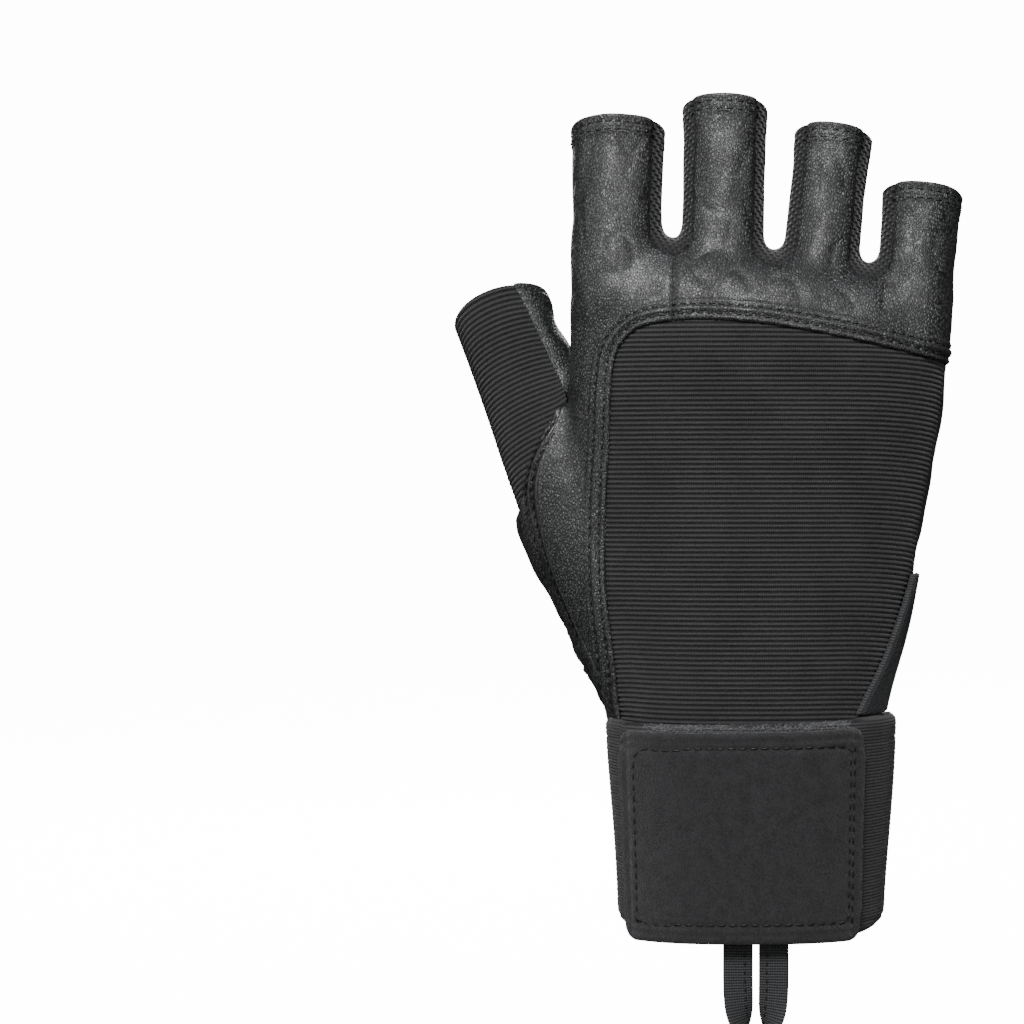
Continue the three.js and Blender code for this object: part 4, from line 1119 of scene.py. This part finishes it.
tab_bottom = lambda d: tab_corner(d) + 1.1
tab_top = lambda d: rim(d) - 1.6 - tab_corner(d)
on_wrap = lambda d: windings(d) + WRAP_PLY + 0.1
tab = wound(TAB_TURNS, EDGE_SHARES, tab_bottom, tab_top, on_wrap, TAB_PLY, tab_detail)
band("closure_tab", *tab, LOOP_CLOTH)

CUFF_HEIGHTS = np.linspace(2.2, 51.8, 60)
outer, _ = wrist_grid((0, 359), CUFF_HEIGHTS, 0.0)
inner, _ = wrist_grid((0, 359), CUFF_HEIGHTS, -CUFF_WALL)
uv = np.stack([np.repeat(np.arange(360)[None] * 0.5, 60, axis=0), outer[:, :, 2]], axis=2)
quads = grid_faces(60, 360, closed=True)[:, ::-1]
points, faces, uv = shell(outer.reshape(-1, 3), quads, CUFF_WALL, inner=inner.reshape(-1, 3),
                          uv=uv.reshape(-1, 2))
made["wrist_cuff"] = mesh_object("wrist_cuff", points, faces, uv)
made["wrist_cuff"].data.materials.append(WRAP_ELASTIC)
print("wrap:", len(made["wrist_wrap"].data.polygons), "faces")

# %% [markdown]
# ## Anchor strip and hanging loop
# A strip of elastic ties the wrap to the little-finger side of the hand. It is sewn flat at the top and
# runs down and round towards the back, so it folds a little on itself. The hanging loop is one length of
# tape, sewn under the cuff with both legs flat and turned on edge where it hangs.

# %% Straps made of rings
STRAP_SQUARENESS = 4.0


def strap(name, centres, wides, thins, width, ply, material):
    """A flat strap with rounded edges along a row of places, each with its directions across and through."""
    c, s = superellipse(np.linspace(0, 2 * np.pi, 28, endpoint=False), STRAP_SQUARENESS)
    rings, uv = [], []
    run = np.concatenate([[0], np.cumsum(np.linalg.norm(np.diff(centres, axis=0), axis=1))])
    for centre, wide, thin, half, place in zip(centres, wides, thins, width / 2, run):
        rings.append(centre + c[:, None] * wide * half + s[:, None] * thin * ply / 2)
        uv.append(np.stack([c * half, np.full(len(c), place)], axis=1))
    points, faces = tube(rings)
    uv = np.concatenate([*uv, [(0, 0)], [(0, run[-1])]])
    made[name] = mesh_object(name, points, faces, uv)
    made[name].data.materials.append(material)


def unit(rows):
    return rows / np.maximum(np.linalg.norm(rows, axis=-1, keepdims=True), 1e-9)


# The anchor follows the side of the hand. Its edge nearer the back is rolled, and halfway up it bellies
# away from the hand because it is folded there.
ANCHOR_FOOT, ANCHOR_RISE, ANCHOR_WIDTH, ANCHOR_PLY = 56.2, 34.3, 9, 1.3
shares, sides = np.linspace(0, 1, 110), np.linspace(0, 1, 34)
outer, inner = [], []
for share in shares:
    back_edge = np.interp(share, [0, 0.35, 0.8, 1], [-0.76, -0.55, -0.36, -0.3])
    palm_edge = 0.16 - 0.1 * share
    angles = back_edge + (palm_edge - back_edge) * sides
    level = ANCHOR_FOOT + share * ANCHOR_RISE
    near = hand_at(level, angles)
    run = hand_at(level, angles + 0.02) - hand_at(level, angles - 0.02)
    outwards = unit(np.cross(run, [0, 0, 1.0]))
    roll = 0.55 * bell(sides - 0.08, 0.09)
    crest = 0.5 * bell(sides - 0.82, 0.16) * bell(share - 0.62, 0.3)
    fold = crest - 0.75 * bell(sides - 0.52, 0.12) * bell(share - 0.6, 0.28)
    height = 1.75 + roll + fold
    outer.append(near + outwards * height[:, None])
    inner.append(near + outwards * 0.45)
outer, inner = np.array(outer), np.array(inner)
across = np.repeat(np.linspace(0, ANCHOR_WIDTH, len(sides))[None], len(shares), axis=0)
slanted = np.repeat((shares * 34)[:, None], len(sides), axis=1) - 0.5 * across
made["strap_anchor"] = mesh_object("strap_anchor", *shell(
    outer.reshape(-1, 3), grid_faces(len(shares), len(sides)), ANCHOR_PLY, inner=inner.reshape(-1, 3),
    uv=np.stack([across, slanted], axis=2).reshape(-1, 2)))
made["strap_anchor"].data.materials.append(TAPE_ELASTIC)

LOOP_MIDDLE, LOOP_SPREAD, LOOP_TOP, LOOP_DROP = 1.19, 4.4, 1.9, 24.9
LOOP_TAPE, LOOP_PLY = 7.4, 1.2
s = np.linspace(-1, 1, 160)
loop_x = LOOP_MIDDLE + np.sign(s) * LOOP_SPREAD * (1 + 0.22 * np.sin(np.pi * np.abs(s))) * np.abs(s) ** 0.55
loop_z = LOOP_TOP - LOOP_DROP * (1 - np.abs(s) ** 2.6) ** 0.8
centres = np.stack([loop_x, np.full(len(s), -20.25), loop_z], axis=1)
centres[1:-1] = (centres[:-2] + 2 * centres[1:-1] + centres[2:]) / 4
along = unit(np.gradient(centres, axis=0))
twist = (1 - smoothstep(np.abs(s), 0.2, 0.92)) * math.pi / 2 * 0.86
flat = np.stack([-along[:, 2], 0 * s, along[:, 0]], axis=1)
wides = unit(flat * np.cos(twist)[:, None] + np.array([0, 1, 0]) * np.sin(twist)[:, None])
thins = unit(np.cross(along, wides))
strap("hang_loop", centres, wides, thins, np.full(len(s), LOOP_TAPE), LOOP_PLY, TAPE_ELASTIC)

# %% [markdown]
# ## Pull tabs and the patch at the thumb
# On the palm side the middle and ring fingers carry a band of suede with a tongue to pull the glove off
# by. A small folded patch of leather strengthens the crotch of the thumb.

# %% Suede bands, tongues and the patch
BAND_HEIGHT, BAND_PLY, TONGUE, TONGUE_FOOT = 10.5, 1.1, 11, 2.4


def pull_tab(finger):
    width, length, _, _ = FINGERS[finger]
    top = 1 - 0.4 / length
    half = finger_ring(finger, 1, np.array([0.0]))[0, 0] - finger_ring(finger, 1, TURN).mean(axis=0)[0]
    spare = math.acos(min(1, (half - GUSSET_REACH - 2 * SEAM) / half)) * 1.08
    angles = np.linspace(spare, math.pi - spare, 40)
    ups = np.linspace(top - BAND_HEIGHT / length, top, 24)
    outer = np.array([finger_ring(finger, share_up(up), angles, grow=SEAM + BAND_PLY) for up in ups])
    inner = np.array([finger_ring(finger, share_up(up), angles, grow=SEAM) for up in ups])
    points, faces = shell(outer.reshape(-1, 3), grid_faces(24, 40), BAND_PLY, inner=inner.reshape(-1, 3))
    band_made = mesh_object("band", points, faces)
    band_made.data.materials.append(SUEDE)
    root = finger_ring(finger, share_up(top), np.array([math.pi / 2]), grow=SEAM + BAND_PLY / 2)[0]
    root = root + (0, -0.25, -TONGUE_FOOT)
    steps = np.linspace(0, 1, 30)
    lean = 0.95 * smoothstep(steps, 0, 0.67)
    step = (TONGUE + TONGUE_FOOT) / 29
    spine = root + np.concatenate([[(0, 0, 0)], np.cumsum(
        np.stack([0 * lean, np.sin(lean), np.cos(lean)], axis=1)[:-1] * step, axis=0)])
    out = np.stack([0 * lean, np.cos(lean), -np.sin(lean)], axis=1)
    corner = 1 - 0.5 * (1 - np.sqrt(np.clip(1 - np.clip(steps - 0.82, 0, None) ** 2 / 0.19 ** 2, 0, 1)))
    strap("tongue", spine, np.repeat([(1.0, 0, 0)], 30, axis=0), out, TONGUE * corner, BAND_PLY, SUEDE)
    both = [made.pop("tongue"), band_made]
    with bpy.context.temp_override(active_object=both[0], selected_editable_objects=both):
        bpy.ops.object.join()
    made[f"pull_tab_{finger}"] = both[0]


for finger in ("middle", "ring"):
    pull_tab(finger)

patch_line = np.array(on_pattern([
    (-0.332, 0.745), (-0.3, 0.752), (-0.34, 0.79), (-0.396, 0.846), (-0.376, 0.79), (-0.352, 0.758),
    (-0.332, 0.745)]))
flat = skin[:, [0, 2]]
inside = np.zeros(len(skin), dtype=bool)
for a, b in zip(patch_line[:-1], patch_line[1:]):
    crosses = (a[1] > flat[:, 1]) != (b[1] > flat[:, 1])
    at = a[0] + (flat[:, 1] - a[1]) / np.where(b[1] == a[1], 1e-9, b[1] - a[1]) * (b[0] - a[0])
    inside ^= crosses & (flat[:, 0] < at)
patch = np.where(inside, 1.0, -1.0) * np.abs(from_line(skin, patch_line))
patch = np.minimum(patch, places["front"] - HAND_DEPTH / 5)
folds = 0.35 * np.sin((skin[:, 0] * 0.6 + skin[:, 2] * 0.8) * 2 * np.pi / 2.6)
rise = np.clip(lift, 0, 0.6) + SEAM + 0.3
rise = rise + 0.9 * smoothstep(patch, 0, 1.2) + folds * smoothstep(patch, 0.2, 1.4)
raised = np.hstack([skin + normal * rise[:, None], skin + normal * SEAM])
data, faces = main_parts(*clip(raised, skin_faces, patch), 60)
made["crotch_patch"] = mesh_object("crotch_patch", *shell(data[:, :3], faces, 0.8, inner=data[:, 3:6]))
made["crotch_patch"].data.materials.append(PALM_LEATHER)
print("small pieces:", [name for name in made if name in ("strap_anchor", "hang_loop", "crotch_patch")])

# %% [markdown]
# ## Stitches
# Every seam is closed by lockstitch in black thread, about ten stitches to an inch. One node group does
# all of them: it walks along each row, sets a short bent stitch at an even spacing, and turns it so that
# it lies on the cloth. The rows come from the same lines as the panels, so each stitch sits in the groove
# made for it.

# %% The stitching tool
def stitch_shape(length, width, rise):
    """One stitch: a short thread that dips into the cloth at both ends."""
    turn = 2 * math.pi * np.arange(6) / 6
    rings = []
    for place in np.linspace(-1, 1, 7):
        thin = width / 2 * (1 - 0.35 * abs(place) ** 3)
        rings.append(np.stack([np.full(6, place * length / 2), thin * np.cos(turn),
                               rise * (1 - place ** 2) + thin * np.sin(turn)], axis=1))
    return mesh_object("one stitch", *tube(rings))


STITCHER = bpy.data.node_groups.new("stitch rows", "GeometryNodeTree")
SOCKETS = {}
for label, kind in (("Rows", "NodeSocketGeometry"), ("Stitch", "NodeSocketObject"),
                    ("Pitch", "NodeSocketFloat"), ("Seed", "NodeSocketInt"),
                    ("Thread", "NodeSocketMaterial")):
    SOCKETS[label] = STITCHER.interface.new_socket(label, in_out="INPUT", socket_type=kind).identifier
STITCHER.interface.new_socket("Stitches", in_out="OUTPUT", socket_type="NodeSocketGeometry")
rows_in = node(STITCHER, "NodeGroupInput", out="Rows")
entry = rows_in.node.outputs
curve = node(STITCHER, "GeometryNodeMeshToCurve", {0: rows_in})
spaced = node(STITCHER, "GeometryNodeResampleCurve", {"Curve": curve, "Length": entry["Pitch"]},
              mode="LENGTH")
away = node(STITCHER, "GeometryNodeInputNamedAttribute", {"Name": "away"}, data_type="FLOAT_VECTOR")
along = node(STITCHER, "GeometryNodeInputTangent")
turned = node(STITCHER, "FunctionNodeAxesToRotation", {0: away, 1: along}, primary_axis="Z",
              secondary_axis="X")
sway = node(STITCHER, "FunctionNodeRandomValue", {2: -0.12, 3: 0.12, "Seed": entry["Seed"]}, out=1,
            data_type="FLOAT")
swayed = node(STITCHER, "ShaderNodeCombineXYZ", {"Z": sway})
tilt = node(STITCHER, "FunctionNodeEulerToRotation", {0: swayed})
turned = node(STITCHER, "FunctionNodeRotateRotation", {0: turned, 1: tilt}, rotation_space="LOCAL")
shape = node(STITCHER, "GeometryNodeObjectInfo", {"Object": entry["Stitch"]}, out="Geometry")
placed = node(STITCHER, "GeometryNodeInstanceOnPoints",
              {"Points": spaced, "Instance": shape, "Rotation": turned})
solid = node(STITCHER, "GeometryNodeRealizeInstances", {0: placed})
painted = node(STITCHER, "GeometryNodeSetMaterial", {"Geometry": solid, "Material": entry["Thread"]})
node(STITCHER, "NodeGroupOutput", {"Stitches": painted})

stitches = []


def sew(name, rows, pitch, length, width, seed, thread=None):
    """Stitches along rows. Each row is places and directions away from the cloth, in millimetres."""
    shape = stitch_shape(length, width, 0.12)
    shape.data.materials.append(thread or THREAD)
    carrier = bpy.data.meshes.new(name)
    places = np.concatenate([row[0] for row in rows]) * MM
    directions = np.concatenate([row[1] for row in rows])
    starts = np.cumsum([0] + [len(row[0]) for row in rows])
    edges = [(k, k + 1) for a, b in zip(starts[:-1], starts[1:]) for k in range(a, b - 1)]
    carrier.from_pydata(places.tolist(), edges, [])
    carrier.attributes.new("away", "FLOAT_VECTOR", "POINT").data.foreach_set("vector", directions.ravel())
    thing = bpy.data.objects.new(name, carrier)
    bpy.context.scene.collection.objects.link(thing)
    step = thing.modifiers.new("stitches", "NODES")
    step.node_group = STITCHER
    step[SOCKETS["Stitch"]] = shape
    step[SOCKETS["Pitch"]] = pitch * MM
    step[SOCKETS["Seed"]] = seed
    step[SOCKETS["Thread"]] = thread or THREAD
    evaluated = thing.evaluated_get(bpy.context.evaluated_depsgraph_get())
    finished = bpy.data.meshes.new_from_object(evaluated)
    thing.modifiers.clear()
    thing.data = finished
    bpy.data.objects.remove(shape)
    stitches.append(thing)
    print(name, len(finished.polygons), "faces")


# %% Rows on the leather
surfaces = {}
for side, (points, faces, away_from, height, _) in dressed.items():
    surfaces[side] = BVHTree.FromPolygons((points + away_from * height[:, None]).tolist(), faces.tolist())


def on_surface(line, side, keep, offset=0.0, lift_by=0.02):
    """Rows on the dressed skin along a pattern line, moved sideways, cut to where keep is positive."""
    run = np.gradient(line, axis=0)
    run /= np.maximum(np.linalg.norm(run, axis=1, keepdims=True), 1e-9)
    moved = line + np.stack([-run[:, 1], run[:, 0]], axis=1) * offset
    from_y, way = (-80.0, 1.0) if side == "back" else (80.0, -1.0)
    hits = [surfaces[side].ray_cast(Vector((x, from_y, z)), Vector((0, way, 0))) for x, z in moved.tolist()]
    return cut_row([(h[0], h[1]) for h in hits], keep, lift_by)


def cut_row(hits, keep, lift_by):
    rows, places, ways = [], [], []
    good = np.array([h[0] is not None for h in hits])
    spots = np.array([h[0] if h[0] is not None else (0, 0, 0) for h in hits], dtype=float)
    good &= keep(spots) > 0
    for k, (place, way) in enumerate(hits):
        if good[k]:
            places.append(np.array(place) + np.array(way) * lift_by)
            ways.append(np.array(way))
        if (not good[k] or k == len(hits) - 1) and places:
            if len(places) > 4:
                rows.append((np.array(places), np.array(ways)))
            places, ways = [], []
    return rows


PITCH = 2.4
THREAD_WIDTH = 0.42
leather_rows = []
back_keep = lambda p: np.minimum.reduce([-curtain(p) - 0.2, p[:, 2] - PANEL_FOOT - 1, mouth_field(p) - 0.5])
palm_keep = lambda p: np.minimum.reduce([curtain(p) - 0.2, from_line(p, SADDLE_LINE) - 0.5, 165 - p[:, 2]])
thumb_keep = lambda p: np.minimum.reduce([curtain(p) - 0.2, mouth_field(p) - 0.8])
arc_keep = lambda p: np.minimum.reduce([curtain(p) - 0.5, p[:, 2] - PANEL_FOOT, 149 - p[:, 2]])
for row in BORDER_ROWS:
    leather_rows += on_surface(BACK_FABRIC_LINE, "back", back_keep, row)
for line in FOLD_LINES:
    leather_rows += on_surface(line[2:], "back", lambda p: 1 + 0 * p[:, 0])
for line in PALM_CHANNELS[:2]:
    for offset in (-CHANNEL_ROWS, CHANNEL_ROWS):
        leather_rows += on_surface(line, "palm", palm_keep, offset)
for offset in (-CHANNEL_ROWS, CHANNEL_ROWS):
    leather_rows += on_surface(PALM_CHANNELS[2], "palm", thumb_keep, offset)
for row in ARC_ROWS:
    leather_rows += on_surface(SADDLE_LINE, "palm", arc_keep, row)
around = np.linspace(0, 2 * np.pi, 240)
for finger, (_, length, _, _) in FINGERS.items():
    for row in HEM_ROWS:
        ring = finger_ring(finger, share_up(1 - row / length), around)
        for side, sign in (("back", -1), ("palm", 1)):
            keep = lambda p: np.minimum(sign * curtain(p) - 0.1, -np.maximum.reduce(
                [gusset_field(p, a, b) for a, b in GAPS]) - 0.2)
            hits = [surfaces[side].find_nearest(Vector(p))[:2] for p in ring.tolist()]
            leather_rows += cut_row(hits, keep, 0.02)
sew("leather_stitches", leather_rows, PITCH, 1.55, THREAD_WIDTH, 3)

# %% Rows on the closing tab
def tab_place(degrees, height):
    """Places on the tab's outer side and the directions away from it."""
    grid, turns = tab[0], np.arange(TAB_TURNS[0], TAB_TURNS[1] + 0.5, 1.0)
    places, ways = [], []
    facing = -grid_normals(grid)
    for d, h in zip(degrees, height):
        column = int(np.clip(round(d - TAB_TURNS[0]), 0, grid.shape[1] - 1))
        row = int(np.abs(grid[:, column, 2] - h).argmin())
        places.append(grid[row, column])
        ways.append(facing[row, column])
    return np.array(places), np.array(ways)


def tab_row(corners):
    degrees, heights = [], []
    for (d0, h0), (d1, h1) in zip(corners[:-1], corners[1:]):
        steps = max(2, int(math.hypot((d1 - d0) * 0.58, h1 - h0) / 1.2))
        degrees += list(np.linspace(d0, d1, steps, endpoint=False))
        heights += list(np.linspace(h0, h1, steps, endpoint=False))
    places, ways = tab_place(degrees, heights)
    places[1:-1] = (places[:-2] + 2 * places[1:-1] + places[2:]) / 4
    return places + ways * 0.05, ways


frame_row = tab_row([(136, 6), (136, 46), (133, 48), (50, 49), (50, 5.5), (134, 5.2), (136, 7)])
second_row = tab_row([(48, 51), (48, 5)])
sew("tab_stitches", [frame_row, second_row], 2.7, 1.9, 0.5, 5)

# %% Rows on the suede bands and along the hanging loop
band_rows = []
for finger in ("middle", "ring"):
    length = FINGERS[finger][1]
    for below in (1.6, 9.4):
        angles = np.linspace(0.75, math.pi - 0.75, 60)
        ring = finger_ring(finger, share_up(1 - below / length), angles, grow=SEAM + 1.12)
        ways = unit(ring - ring.mean(axis=0) - np.array([0, -6, 0]))
        band_rows.append((ring, ways))
loop_rows = []
for half in (slice(4, 62), slice(98, 156)):
    inner_side = np.where(loop_x[half] < LOOP_MIDDLE, 1, -1)[:, None]
    facing = thins[half] * np.where(thins[half][:, 1:2] < 0, 1, -1)
    across_way = wides[half] * np.where(wides[half][:, :1] * inner_side > 0, 1, -1)
    loop_rows.append((centres[half] + across_way * 1.7 + facing * 0.62, facing))
sew("small_stitches", band_rows + loop_rows, 2.1, 1.4, 0.36, 8)

# %% [markdown]
# ## Nap at the wrap's edge
# The inner face of the wrap is brushed so that the hooks can hold on it, and where the wrap stands away
# from the hand its brushed face shows as a soft pale fringe along the upper edge.

# %% Fringe
FIBRES = 1500
generator = np.random.default_rng(11)
edge_degrees = generator.uniform(48, 132, FIBRES)
edge_heights = rim(edge_degrees) - generator.uniform(-0.2, 1.3, FIBRES)
reach = windings(edge_degrees) + generator.uniform(-0.1, WRAP_PLY + 0.15, FIBRES)
spots = []
for degree, height, out in zip(edge_degrees, edge_heights, reach):
    place, _ = wrist_grid((degree, degree), [float(height)], float(out))
    spots.append(place[0, 0])
spots = np.array(spots)
fibre_way = unit(np.stack([generator.normal(0, 1, FIBRES), generator.normal(-0.5, 0.6, FIBRES),
                           generator.uniform(0.1, 1, FIBRES)], axis=1))
fringe_rows = []
for spot, way in zip(spots, fibre_way):
    side_way = unit(np.cross(way, [0.3, 1, 0.2]))
    fringe_rows.append((np.array([spot - way * 0.05, spot + way * 0.35, spot + way * 0.65 + side_way * 0.15]),
                        np.repeat(side_way[None], 3, axis=0)))
sew("edge_fringe", fringe_rows, 0.45, 0.5, 0.07, 21, FRINGE)

# %% [markdown]
# ## Floor, light and camera
# The catalogue picture is lit by large soft boxes near the camera on a white sweep. A pale floor lies
# well below the glove with a wall far behind it, so the glove stands free and no shadow reaches it.

# %% Stage
EYE_DISTANCE = 560 * MM
TARGET_HEIGHT = 106.5 * MM
FLOOR = -0.16
side = 9.0
CORNER = 1.2
bends = np.linspace(0, math.pi / 2, 9)
corner = [(1.6 + CORNER * math.sin(a), FLOOR + CORNER * (1 - math.cos(a))) for a in bends]
profile = [(-4.0, FLOOR)] + corner + [(2.8, 6.0)]
points = np.array([(s * side / 2, py, pz) for py, pz in profile for s in (-1, 1)]) / MM
quads = np.array([(2 * k, 2 * k + 1, 2 * k + 3, 2 * k + 2) for k in range(len(profile) - 1)])
sweep = mesh_object("sweep", points, quads)
sweep.data.materials.append(PAPER)


def area_light(name, place, target, width, height, watts):
    lamp = bpy.data.lights.new(name, "AREA")
    lamp.shape = "RECTANGLE"
    lamp.size, lamp.size_y, lamp.energy = width, height, watts
    made = bpy.data.objects.new(name, lamp)
    bpy.context.scene.collection.objects.link(made)
    made.location = place
    made.rotation_euler = (Vector(target) - Vector(place)).to_track_quat("-Z", "Y").to_euler()
    return made


middle = (0, 0, 0.11)
area_light("key", (-0.2, -1.2, 1.05), middle, 0.5, 0.4, 38)
area_light("front fill", (0.3, -1.5, 0.25), middle, 0.9, 0.9, 9)
area_light("left fill", (-1.3, -0.5, 0.3), middle, 0.5, 1.0, 5)
area_light("back", (-0.25, 1.6, 0.9), middle, 1.2, 0.8, 34)
sweep.visible_glossy = False
sweep.visible_diffuse = False

world = bpy.data.worlds.new("studio")
bpy.context.scene.world = world
world.use_nodes = True
world.node_tree.nodes["Background"].inputs["Color"].default_value = srgb("#d8dadc")
world.node_tree.nodes["Background"].inputs["Strength"].default_value = 0.12

lens = bpy.data.cameras.new("catalogue camera")
lens.sensor_width = 36
lens.lens = 36 * (EYE_DISTANCE / MM) / (IMAGE_SIZE / 4)
lens.shift_x = -(751 - IMAGE_SIZE / 2) / IMAGE_SIZE
lens.clip_start, lens.clip_end = 0.05, 30
camera = bpy.data.objects.new("catalogue camera", lens)
bpy.context.scene.collection.objects.link(camera)
camera.location = (0, -14 * MM - EYE_DISTANCE, TARGET_HEIGHT)
camera.rotation_euler = (math.pi / 2, 0, 0)
bpy.context.scene.camera = camera
print("camera at", [round(v, 3) for v in camera.location])

# %% [markdown]
# ## Joining the pieces to the glove
# Every piece rides with the glove and stands for its imported node, so the two models stay one.

# %% Names, parents and hidden parts
SLOTS = {
    "leather": ("palm_leather", "thumb_saddle", "thumb_strip", "index_panel", "knuckle_yoke", "crotch_patch"),
    "ribbed_elastic": ("thumb_fabric", "back_fabric"),
    "knit": tuple(f"gusset_{a}_{b}" for a, b in GAPS),
    "elastic": ("wrist_cuff", "wrist_wrap", "strap_anchor", "hang_loop"),
    "loop_cloth": ("closure_tab",),
    "suede": ("pull_tab_middle", "pull_tab_ring"),
}
for slot, names in SLOTS.items():
    for name in names:
        if name not in made:
            continue
        made[name].name = name + "_dressed"
        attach(made[name], "root")
        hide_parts(name)
for thing in stitches:
    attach(thing, "root")

print("pieces:", len(made) + len(stitches))
